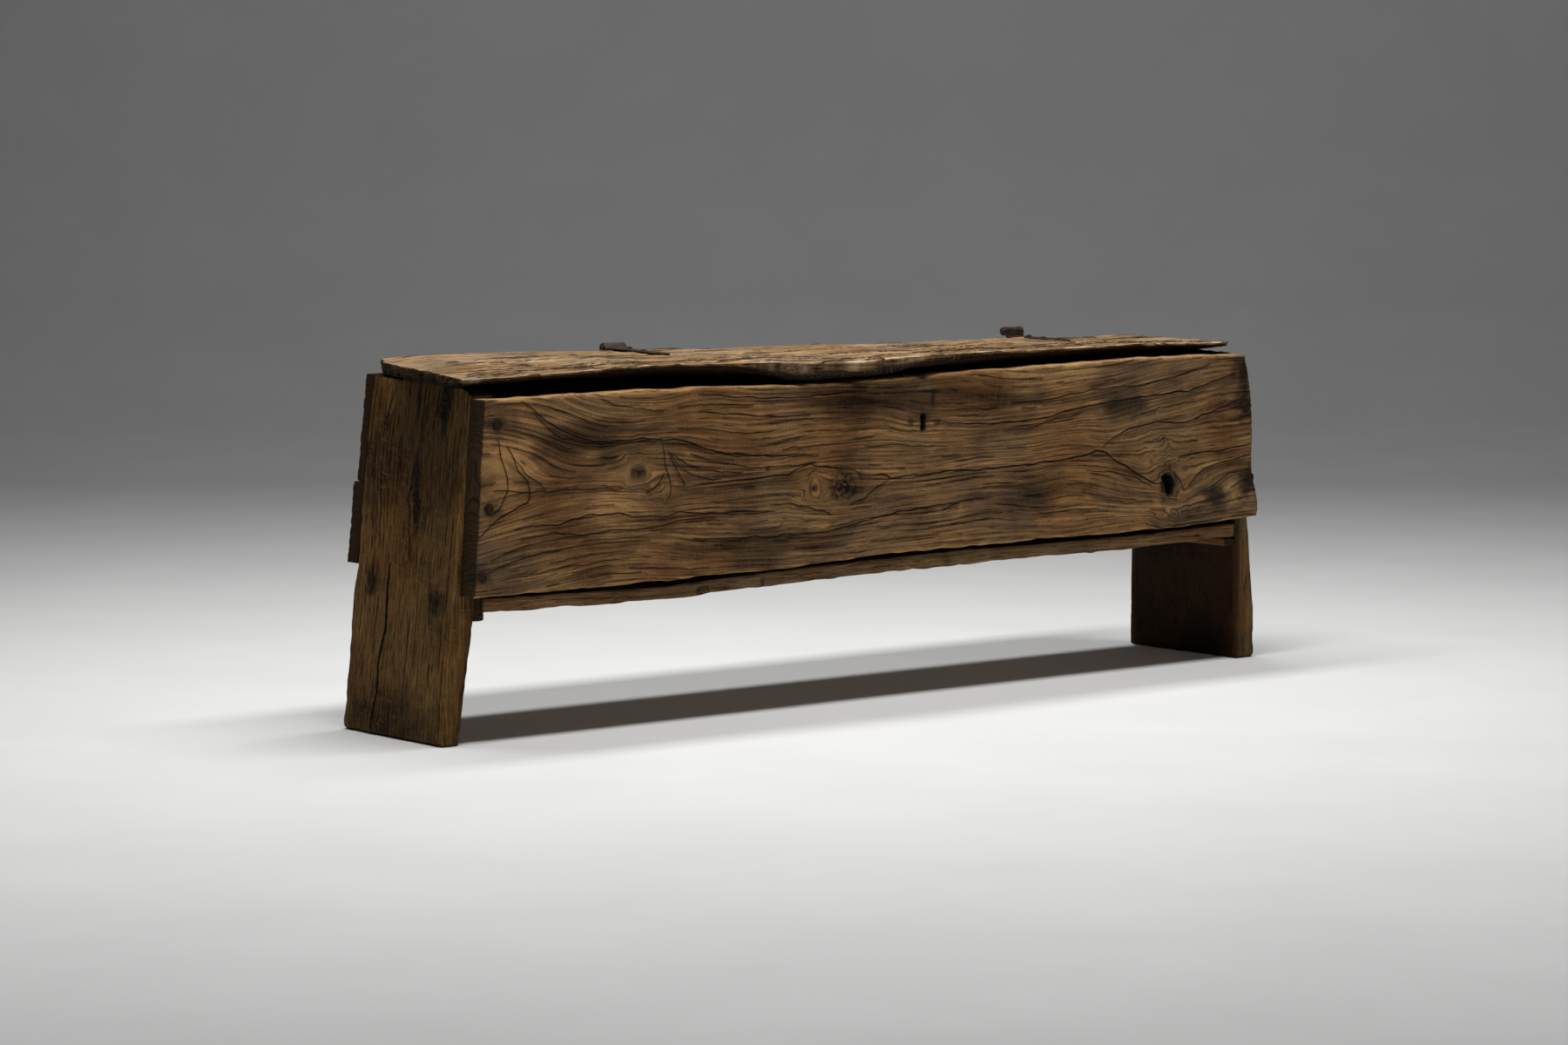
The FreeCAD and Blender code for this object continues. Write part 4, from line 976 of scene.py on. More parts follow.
    def cut_openings(
        self, points: np.ndarray, numbers: np.ndarray
    ) -> tuple[np.ndarray, list[tuple[int, ...]]]:
        """Cuts the through openings and lines them with walls.

        Args:
            points: The vertices, of which those on an opening's rim are moved to its outline.
            numbers: The lattice of vertex numbers.

        Returns:
            Which cells of the face are gone, and the walls.
        """
        front, back = numbers[:, :, 0], numbers[:, :, -1]
        along, across, _ = self.face(points)
        corners = np.stack([front[:-1, :-1], front[1:, :-1], front[1:, 1:], front[:-1, 1:]])
        middle_u, middle_v = along[corners].mean(axis=0), across[corners].mean(axis=0)
        gone = np.zeros(self.cells[:2], bool)
        for outline in self.openings:
            inside = np.zeros(self.cells[:2], bool)
            loop = np.array(outline, float)
            ahead = np.roll(loop, -1, axis=0)
            for start, end in zip(loop, ahead):
                crosses = (start[1] > middle_v) != (end[1] > middle_v)
                slope = (end[0] - start[0]) / ((end[1] - start[1]) or 1e-9)
                inside ^= crosses & (middle_u < start[0] + slope * (middle_v - start[1]))
            gone |= inside
            rim = np.zeros(front.shape, bool)
            for rows in (slice(-1), slice(1, None)):
                for columns in (slice(-1), slice(1, None)):
                    rim[rows, columns] |= inside
            runs = ahead - loop
            for vertex in np.concatenate([front[rim], back[rim]]):
                spot = np.array([along[vertex], across[vertex]])
                share = np.clip(((spot - loop) * runs).sum(axis=1) / (runs**2).sum(axis=1), 0, 1)
                nearest = loop + share[:, None] * runs
                points[vertex, self.axes[:2]] = nearest[np.argmin(np.linalg.norm(nearest - spot, axis=1))]
        walls = []
        padded = np.pad(gone, 1)
        for i, j in np.argwhere(gone):
            ring = ((i, j), (i + 1, j), (i + 1, j + 1), (i, j + 1), (i, j))
            for (go_i, go_j), first, second in zip(((0, -1), (1, 0), (0, 1), (-1, 0)), ring, ring[1:]):
                if not padded[i + 1 + go_i, j + 1 + go_j]:
                    walls.append((front[first], back[first], back[second], front[second]))
        return gone, walls

    def back_faces(self, back: np.ndarray, gone: np.ndarray) -> list[tuple[int, ...]]:
        """Covers the face behind with large cells, which stay joined to the fine ones around them.

        Args:
            back: The lattice of vertex numbers there.
            gone: Which of its cells an opening takes.

        Returns:
            The faces.
        """
        step = 4
        rows, columns = (count // step for count in gone.shape)
        fine = np.pad(gone.reshape(rows, step, columns, step).any(axis=(1, 3)), 1, constant_values=True)
        faces = []
        for row in range(rows):
            for column in range(columns):
                i, j = row * step, column * step
                if fine[row + 1, column + 1]:
                    for a in range(i, i + step):
                        for b in range(j, j + step):
                            if not gone[a, b]:
                                faces.append((back[a, b], back[a + 1, b], back[a + 1, b + 1], back[a, b + 1]))
                    continue
                loop = []
                for start, (go_i, go_j), beside in (
                    ((i, j), (1, 0), fine[row + 1, column]),
                    ((i + step, j), (0, 1), fine[row + 2, column + 1]),
                    ((i + step, j + step), (-1, 0), fine[row + 1, column + 2]),
                    ((i, j + step), (0, -1), fine[row, column + 1]),
                ):
                    for count in range(step if beside else 1):
                        loop.append(back[start[0] + go_i * count, start[1] + go_j * count])
                faces.append(tuple(loop))
        return faces

    def build(self, material: bpy.types.Material) -> None:
        """Makes the plank and hands it over.

        Args:
            material: Its wood.
        """
        shares, quads, numbers = box_grid(self.cells)
        base = self.mapping(*self.softened(shares).T)
        along, across, through = self.face(base)
        seen = ease(shares[:, 2], 0.75, 0.45)
        cracks, branches = self.crack_fields(along, across)
        level = self.flow(along, across)
        marks, wear = self.marks(along, across)
        marks *= seen[:, None]
        wear *= seen[:, None]
        length, width, _ = self.size()
        wear[:, 1] = ease(np.minimum(shares[:, 0], 1 - shares[:, 0]) * length, 1.5, 0.2)
        # Painted shade on the sides and on the face behind; negative shades paint light there.
        on_side = ease(np.minimum(shares[:, 1], 1 - shares[:, 1]) * self.cells[1], 1.0, 0.0)
        on_side *= ease(shares[:, 2] * self.cells[2], 0.0, 1.0)
        wear[:, 2] += on_side * self.painted_side_shade + ease(shares[:, 2], 0.5, 1.0) * self.painted_rear_shade
        worn = rough(self.seed + 6, along / 25, across / 5) * 0.5 + 0.7
        for lip, share in zip(self.lips, (shares[:, 1], 1 - shares[:, 1])):
            wear[:, 0] += lip * worn * ease(share * width, 7, 2) * seen
        lift = self.swell * rough(self.seed, along / 240, across / 90)
        lift += self.fibre * rough(self.seed + 3, along / 60, level / 5, 2)
        lift -= np.maximum(cracks[:, 3], branches[:, 3]) * seen
        lift -= marks[:, 0] * 1.2 * (rough(self.seed + 4, along / 8, across / 6) * 0.5 + 0.6)
        points = base + normals(base, quads) * lift[:, None]
        gone, walls = self.cut_openings(points, numbers)
        # An opening's walls are painted black in the iron-stain colour, as painted shade inside the hole.
        marks[np.array(walls, int).reshape(-1, 4), 2] = (0.9, 1.0, 1.0, 0.9)
        cells = gone.size
        faces = [tuple(quad) for quad in quads[:-2 * cells]]
        faces += [tuple(quad) for quad, cut in zip(quads[-2 * cells:-cells], gone.ravel()) if not cut]
        faces += self.back_faces(numbers[:, :, -1], gone) + walls
        if inside_out(base, quads):
            faces = [face[::-1] for face in faces]
        used = np.unique([number for face in faces for number in face])
        renumber = np.full(len(points), -1)
        renumber[used] = np.arange(len(used))
        for field_of_cracks in (cracks, branches):
            field_of_cracks[:, 1] *= seen * (1 - on_side)
        # Rings curve through the plank, which shows as arcs on its ends.
        arc = (shares[:, 2] - 0.35) ** 2 * 26
        fields = {
            "grain": np.stack([along, level + arc, through], axis=1)[used] * MM,
            "crack": cracks[used, :3],
            "branch": branches[used, :3],
            "marks": marks[used],
            "wear": wear[used],
            "flat": np.stack([along, across, through], axis=1)[used] * MM,
        }
        faces = [tuple(renumber[list(face)]) for face in faces]
        item = new_object(f"{self.node}_plank", points[used], faces, fields)
        item.data.set_sharp_from_angle(angle=math.radians(58))
        hand_over(item, material, self.body, [self.node])


@dataclass
class FrontPlank(Plank):
    """The front board, its lower edge waney where the tree's own surface was left."""

    wane: tuple[Place, ...] = ((-950, 1), (-180, 1), (-60, 8), (300, 7), (917, 6))
    wane_height: float = 15.0

    def faces(self, along: np.ndarray, across: np.ndarray, t: np.ndarray) -> Pair:
        """The seen face falls back at the wane; see Plank.faces."""
        front, back = super().faces(along, across, t)
        rise = across - self.outline("low", along)
        fall = np.interp(along, *zip(*self.wane)) * (1 + 0.3 * rough(self.seed + 31, along / 30))
        return front + fall * ease(rise, self.wane_height, 0), back


@dataclass
class LidPlank(Plank):
    """The lid, warped along its length, its underside rising to a thin torn front edge."""

    seat_front: Place = (-131.5, 590.4)
    seat_rise: float = 10.0
    seat_run: float = 292.0

    def seat(self, y: np.ndarray) -> np.ndarray:
        """The height of the end boards' sloping tops, on which the lid lies."""
        return self.seat_front[1] + (y - self.seat_front[0]) * self.seat_rise / self.seat_run

    def faces(self, along: np.ndarray, across: np.ndarray, t: np.ndarray) -> Pair:
        """The top runs from the front edge to the back one; see Plank.faces."""
        front_top, back_top = self.outline("front", along), self.outline("back", along)
        top = front_top + t * (back_top - front_top)
        rise_y, edge_y = self.outline("rise", along), self.outline("low", along)
        seat, rise_seat = self.seat(across), self.seat(rise_y)
        share = np.clip((rise_y - across) / (rise_y - edge_y), 0, 1)
        torn = rise_seat + share * (self.outline("under", along) - rise_seat)
        return top, np.minimum(np.where(across > rise_y, seat, torn), top - 4)


def flat(**places: float) -> dict[str, tuple[Place, ...]]:
    """Makes outlines that are straight and level from single numbers."""
    return {name: ((0, place),) for name, place in places.items()}


def crack_set(*runs: tuple[float, ...]) -> tuple[Crack, ...]:
    """Makes cracks from runs of numbers: how coarse a crack is, and then its points along and across."""
    return tuple(
        Crack(tuple(zip(run[1::2], run[2::2])), width=run[0] * 0.8, depth=run[0] * 2.0) for run in runs
    )


@dataclass
class ChestBox:
    """The fixed box: front board on the edges of two splayed end boards, back boards, bottom and cleats.

    The end boards run down to the floor as feet. All boards are solid planks, nailed.
    """

    half_length: float = 951.0
    height: float = 600.0
    front_face: float = -172.5
    leg_front: float = -131.5
    leg_back: float = 160.5

    def front(self, finish: bpy.types.Material) -> None:
        """Builds the front board with its keyhole and knot hole.

        Args:
            finish: Its wood.
        """
        outlines = flat(front=self.front_face, back=self.leg_front) | {
            "low": (
                (-912, 248), (-522, 250), (-289, 253), (-128, 260), (-5, 265), (150, 265), (250, 264.5),
                (366, 268), (542, 265.5), (723, 268), (868, 275), (917, 278),
            ),
            "high": (
                (-885, 572), (-631, 575), (-442, 574), (-247, 573), (-146, 572), (33, 578), (149, 581),
                (320, 584), (577, 588), (763, 589), (877, 588),
            ),
            "start": ((248, -911), (372, -902), (486, -895), (573, -888)),
            "end": ((286, 917), (326, 913), (361, 898), (406, 899), (475, 897), (536, 890), (588, 877)),
        }
        cracks = crack_set(
            (1.3, -812, 567, -788, 551, -763, 532, -737, 519, -702, 503, -667, 495, -623, 494, -574, 495,
             -529, 492, -476, 486, -428, 472, -385, 461, -326, 455, -267, 452, -207, 451),
            (0.9, -788, 547, -767, 525, -733, 504, -685, 492, -632, 488, -574, 488, -522, 489),
            (0.8, -649, 564, -623, 552, -588, 549, -543, 541, -519, 538),
            (1.0, -861, 505, -857, 474, -843, 445, -842, 421, -858, 394, -879, 381),
            (1.2, -844, 494, -832, 476, -823, 455, -802, 433, -798, 418, -800, 401, -824, 392, -858, 377,
             -884, 359, -901, 348),
            (0.8, -832, 476, -806, 447, -779, 430, -768, 420),
            (0.9, -870, 421, -836, 421, -798, 417, -751, 415, -707, 416, -650, 416, -606, 412),
            (1.1, -828, 356, -773, 361, -738, 359, -686, 372, -619, 371, -576, 362, -515, 362, -482, 367,
             -453, 362, -405, 360, -346, 360, -277, 355),
            (0.8, -816, 338, -751, 346, -686, 338, -628, 344, -581, 342, -525, 346, -472, 352, -405, 351),
            (1.0, -443, 564, -404, 561, -346, 555, -297, 552, -217, 550, -147, 553, -70, 555),
            (1.0, -443, 534, -385, 529, -326, 523, -257, 519, -197, 519),
            (0.9, -519, 478, -515, 445, -505, 418, -503, 399, -510, 388),
            (0.9, -556, 405, -540, 409, -528, 420, -519, 432),
            (1.3, -503, 411, -472, 409, -424, 411, -365, 413, -307, 415, -247, 417, -227, 426, -197, 432,
             -147, 426, -116, 420, -91, 417, -83, 407),
            (1.2, -83, 407, -49, 407, -24, 408, -13, 399, 23, 401, 70, 401, 113, 403),
            (0.9, -13, 397, -44, 383, -80, 364, -106, 357),
            (0.9, -287, 368, -247, 367, -207, 358, -177, 350, -152, 344),
            (1.2, -453, 318, -366, 315, -297, 313, -227, 312, -157, 313, -95, 322, -44, 330, 8, 339,
             60, 342, 149, 346),
            (0.8, -157, 319, -96, 329, -18, 333, 60, 333, 149, 337),
            (0.9, 280, 520, 353, 521, 433, 532, 525, 539, 607, 540, 684, 550, 785, 574),
            (1.4, 110, 492, 208, 486, 280, 485, 353, 488, 433, 503, 525, 512, 607, 519, 726, 525, 798, 541,
             847, 553),
            (0.8, 258, 471, 314, 471, 376, 484, 444, 492),
            (1.2, 508, 430, 537, 448, 584, 463, 643, 469, 715, 465, 769, 480, 805, 487, 847, 499, 884, 510),
            (1.8, 45, 398, 115, 404, 242, 404, 331, 408, 399, 412, 457, 414, 485, 423, 508, 423, 526, 408,
             555, 394, 585, 382, 615, 364, 644, 353, 659, 357),
            (1.2, 700, 394, 703, 404, 739, 406, 818, 409, 895, 418),
            (1.1, 686, 373, 704, 359, 716, 339, 737, 355, 764, 373, 806, 384, 849, 390, 892, 397),
            (0.8, 45, 331, 110, 335, 170, 352, 209, 350),
            (0.8, 465, 388, 532, 383, 585, 369, 632, 350),
            (0.8, 836, 464, 894, 475),
            (0.8, -509, 470, -496, 446, -483, 424, -472, 411),
            (0.8, -506, 467, -487, 445, -460, 428, -425, 419, -395, 417),
            (0.8, -502, 466, -472, 448, -437, 436, -395, 429, -347, 427),
            (0.7, -875, 308, -836, 321, -798, 329, -742, 336, -685, 339),
            (0.8, -880, 290, -825, 305, -770, 314, -686, 322, -594, 323, -548, 321),
            (0.7, -859, 273, -798, 280, -725, 288, -657, 292, -594, 294),
            (0.8, -466, 474, -419, 463, -359, 455, -287, 450, -177, 448),
            (0.7, -460, 463, -413, 449, -359, 439, -305, 431, -251, 433, -183, 435),
        )
        FrontPlank(
            "front_board", outlines, (0, 2, 1), (520, 148, 8), seed=3, cracks=cracks,
            knots=(
                Knot((-572, 438), 16, 1.3, 0.75),
                Knot((-185, 391), 17, 1.2, 0.3),
                Knot((-512, 396), 8, 1.0, 0.2),
                Knot((675, 352), 24, 1.0, 0.5),
            ),
            patches=(
                Patch((-118, 389), (40, 36), dark=0.95),
                Patch((-572, 438), (18, 12), dark=0.8),
                Patch((-189, 390), (9, 6), iron=1.0),
                Patch((-291, 429), (6, 5), iron=1.0),
                Patch((-335, 399), (22, 6), dark=0.7),
                Patch((88, 549), (26, 4.5), iron=1.0),
                Patch((88, 537), (6, 22), iron=1.0),
                Patch((100, 493), (13, 8), iron=0.9),
                Patch((36, 495), (11, 9), iron=0.9),
                Patch((80, 446), (18, 8), pale=0.9),
                Patch((62, 576), (16, 9), iron=1.0),
                Patch((-680, 495), (150, 45), shade=0.7),
                Patch((-640, 385), (90, 35), pale=0.5),
                Patch((60, 540), (330, 36), shade=0.6),
                Patch((-330, 300), (190, 34), shade=0.6),
                Patch((350, 560), (200, 26), pale=0.6),
                Patch((-840, 470), (60, 70), pale=0.6),
                Patch((-300, 440), (110, 26), pale=0.45),
                Patch((330, 350), (150, 40), shade=0.45),
                Patch((560, 505), (90, 30), shade=0.6),
                Patch((600, 385), (80, 60), pale=0.5),
                Patch((790, 320), (220, 40), pale=0.35),
                Patch((798, 319), (46, 32), iron=1.0),
                Patch((876, 558), (44, 36), iron=1.0),
                Patch((884, 490), (48, 40), iron=1.0),
                Patch((898, 346), (44, 42), iron=1.0),
                Patch((-862, 531), (30, 24), iron=0.6),
                Patch((-880, 393), (30, 24), iron=0.6),
                Patch((-894, 282), (34, 24), iron=0.6),
                Patch((674, 350), (36, 46), dark=0.6, shade=0.4),
                Patch((64, 495), (20, 28), dark=0.4),
            ),
            openings=(
                ((58, 482), (62, 479), (66, 479), (70, 482), (69, 498), (71, 505), (67, 510), (61, 510),
                 (57, 505), (59, 498)),
                ((656, 367), (663, 353), (673, 329), (686, 332), (690, 351), (681, 367), (669, 372)),
            ),
            # Its top and bottom edges are painted lighter, a painted highlight of the light from above, and
            # its inner face darker as painted shade.
            edge_radius=2.4, edge_wear=3.0, fray=1.6, painted_side_shade=-0.7, lips=(0.6, 1.4), smooth=16,
            ragged={"low": 1.6, "high": 1.4}, checks=170, check_width=0.5,
        ).build(finish)

    def legs(self, left_finish: bpy.types.Material, right_finish: bpy.types.Material) -> None:
        """Builds the two end boards.

        Args:
            left_finish: The left one's wood.
            right_finish: The right one's wood.
        """
        shared = flat(low=self.leg_front, high=self.leg_back, start=0)
        left = {
            "end": ((self.leg_front, 577), (-119, 585), (-100, 591), (self.leg_back, self.height)),
            "front": ((0, -943), (7, -949), (16, -949.2), (600, -882)),
            "back": ((0, -914), (242, -877), (600, -838)),
        }
        right = {
            "end": ((self.leg_front, 590), (self.leg_back, self.height)),
            "front": ((0, 944), (8, 950), (95, 951), (225, 935), (600, 884)),
            "back": ((0, 902), (250, 900), (600, 846)),
        }
        cracks = crack_set(
            (3.4, 9, 74, 40, 66, 74, 58, 127, 64, 174, 50, 230, 53, 287, 57),
            (0.9, 193, -67, 236, -64, 279, -59),
            (1.2, 518, 111, 555, 96, 593, 79),
            (0.9, 564, 43, 593, 40),
            (0.9, 514, -31, 548, -38, 584, -43),
        )
        Plank(
            "left_end_board", shared | left, (2, 1, 0), (200, 100, 10), seed=11, cracks=cracks,
            knots=(Knot((425, -2), 13, 1.8, 1.0), Knot((372, -3), 9, 1.8, 1.0)),
            patches=(
                Patch((412, 2), (60, 15), dark=1.0),
                Patch((256, 112), (34, 26), dark=0.5, iron=0.55),
                Patch((238, -82), (34, 26), dark=0.5, iron=0.55),
                Patch((30, 0), (60, 150), shade=0.5),
                Patch((560, 14), (50, 5), dark=0.7, shade=0.7),
                Patch((552, -62), (62, 15), dark=0.6, shade=0.8),
                # Painted shade: the leg is darkened towards its top.
                Patch((500, 20), (170, 190), shade=0.6),
                Patch((378, -4), (46, 13), dark=1.0, shade=0.3),
            ),
            checks=50, lips=(0.5, 0.3), ragged={"low": 1.2, "high": 2.2}, edge_radius=4.5, edge_wear=4.0,
            end_radius=3.5, fray=2.2, swell=1.3, fibre=0.4,
        ).build(left_finish)
        Plank(
            "right_end_board", shared | right, (2, 1, 0), (160, 80, 10), seed=17,
            cracks=crack_set((1.2, 12, 20, 120, 30, 260, 24), (0.9, 420, -60, 560, -52)),
            # The inner face is painted dark as painted shade, and the front and back edges lighter as a
            # painted highlight.
            painted_rear_shade=1.0, painted_side_shade=-0.6, checks=30, edge_radius=4.0, edge_wear=3.5, end_radius=4.0,
            fray=2.0, swell=1.2, fibre=0.4,
        ).build(right_finish)

    def back(self, finish: bpy.types.Material) -> None:
        """Builds the two back boards.

        Args:
            finish: Their wood.
        """
        lean, clear = 69, 1.5
        splay = tuple((z, self.half_length - lean * z / self.height - clear) for z in (279, 600))
        ends = {"start": tuple((z, -x) for z, x in splay), "end": splay}
        for name, low, high, face, seed in (
            ("upper_back_board", 418, 600, 184.5, 23),
            ("lower_back_board", 279, 417, 193.5, 29),
        ):
            outlines = ends | flat(low=low, high=high, front=face, back=self.leg_back)
            middle = (low + high) / 2
            cracks = crack_set(
                (1.2, -880, middle + 20, -700, middle + 24, -520, middle + 12, -380, middle + 14),
                (1.0, 240, middle - 22, 420, middle - 30, 640, middle - 18, 860, middle - 24),
                (0.9, -120, middle + 40, 60, middle + 46, 200, middle + 38),
            )
            knots = (Knot((-240, middle - 26), 14), Knot((500, middle + 22), 11))
            looks = {"cracks": cracks, "knots": knots, "fray": 1.8, "checks": 30}
            Plank(name, outlines, (0, 2, 1), (260, 48, 6), seed, **looks).build(finish)

    def floor(self, finish: bpy.types.Material) -> None:
        """Builds the bottom board and the cleats under its ends.

        Args:
            finish: Their wood.
        """
        underside = (
            (-866, 216), (-490, 211), (-279, 219), (-53, 225), (187, 229), (618, 230), (753, 233), (910, 237),
        )
        thickness = 25
        outlines = flat(low=self.leg_front, high=self.leg_back, start=-867, end=897)
        outlines |= {"front": underside, "back": tuple((x, z + thickness) for x, z in underside)}
        cracks = crack_set(
            (1.2, -600, -60, -380, -50, -150, -66, 80, -60),
            (1.0, -20, 40, 220, 52, 480, 44, 700, 56),
            (1.0, 300, -90, 520, -98, 760, -88),
        )
        splits = (Patch((-272, -131), (5, 60), iron=1.0), Patch((-404, -131), (16, 40), dark=0.9))
        Plank(
            "bottom_board", outlines, (0, 1, 2), (260, 44, 6), seed=37, cracks=cracks, patches=splits,
            # Its sides are painted a little lighter as painted light, and its top inside the chest darker as
            # painted shade.
            edge_radius=2.5, painted_side_shade=-0.2, ragged={"front": 2.0}, checks=30,
        ).build(finish)
        for name, low, high, outer, inner, seed in (
            ("left_cleat", 203.5, 247, -881.5, -859.5, 41),
            ("right_cleat", 218.5, 232.5, 899.5, 873.2, 43),
        ):
            outlines = flat(low=low, high=high, start=-128.5, end=157.5, front=inner, back=outer)
            Plank(name, outlines, (1, 2, 0), (60, 16, 8), seed, edge_radius=2.5, swell=0.4).build(finish)


@dataclass
class ChestLid:
    """The lid: one plank, warped, torn along its front edge and bleached on top."""

    back_edge: float = 176.5

    def build(self, finish: bpy.types.Material) -> None:
        """Builds the lid.

        Args:
            finish: Its wood.
        """
        outlines = flat(high=self.back_edge) | {
            "low": (
                (-916, -136), (-831, -138.5), (-749, -142.5), (-662, -143.5), (-606, -140.5),
                (-486, -137.5), (-370, -143.5), (-300, -160), (-224, -175.5), (-150, -188), (-90, -195.5),
                (-34, -190.5), (52, -180.5), (155, -165.5), (253, -153.5), (354, -147.5), (460, -143.5),
                (640, -138.5), (847, -135.5),
            ),
            "start": ((-200, -915.8), (-136, -913), (60, -893), (134, -884), (160, -868), (176.5, -852)),
            "end": ((-190, 872), (-136, 875), (-60, 882), (170, 884.4)),
            "front": (
                (-916, 606), (-831, 605), (-749, 608), (-662, 610), (-606, 613.5), (-486, 615), (-370, 614),
                (-224, 612), (-90, 609), (-34, 613), (52, 613), (155, 613), (253, 616), (354, 610),
                (460, 612.5), (640, 614), (847, 609),
            ),
            "back": (
                (-861, 624), (-813, 628), (-699, 628), (-519, 627), (-370, 623), (-253, 621), (-67, 619),
                (144, 618.5), (308, 614), (457, 615), (566, 616), (721, 610), (880, 612),
            ),
            "under": (
                (-920, 591), (-855, 597), (-787, 600), (-717, 604), (-658, 605), (-606, 607), (-486, 609),
                (-420, 608), (-370, 606), (-333, 603), (-290, 592), (-257, 580), (-218, 578), (-167, 578),
                (-114, 580.5), (-60, 584), (26, 593), (155, 603.5), (253, 606), (295, 606), (386, 605),
                (499, 607), (614, 609), (777, 606), (847, 603), (880, 602),
            ),
            "rise": (
                (-924, -105), (-812, -95), (-699, -76), (-606, -66), (-384, -76), (-324, -95), (-235, -131.5),
                (200, -131.5), (330, -95), (576, -76), (760, -66), (895, -56),
            ),
        }
        cracks = crack_set(
            (2.0, -880, -104, -760, -112, -640, -106, -520, -114, -400, -108, -300, -128, -220, -140),
            (1.6, -860, -60, -720, -72, -600, -70, -470, -84),
            (1.8, -330, -112, -240, -120, -150, -150, -60, -168, 40, -160),
            (1.6, -120, -60, 20, -70, 160, -66, 330, -82, 470, -80),
            (2.0, 60, -130, 180, -128, 320, -118, 470, -114, 640, -112),
            (1.7, 420, -50, 560, -62, 700, -60, 860, -74),
            (1.6, 560, -108, 700, -104, 850, -112),
            (1.3, -820, 30, -640, 20, -480, 26, -380, 16),
            (1.3, 120, 40, 300, 30, 480, 36),
            (1.4, 640, 70, 760, 60, 870, 64),
        )
        LidPlank(
            "lid_board", outlines, (0, 1, 2), (520, 132, 8), seed=5, body=Body.LID, slot=Slot.LID_WOOD,
            cracks=cracks,
            knots=(Knot((-700, -20), 16), Knot((240, -20), 13)),
            edge_radius=2.6, edge_wear=4.0, fray=7.0, checks=230, check_width=1.25, check_bias=2.6,
            lips=(1.3, 0.3), smooth=20, ragged={"low": 3.0, "front": 1.0}, swell=1.6, fibre=0.6,
            # The sides and underside are darker: partly wood that light has not bleached, partly painted
            # shade.
            painted_side_shade=0.9, painted_rear_shade=1.0,
        ).build(finish)


# ---- Ironwork ----


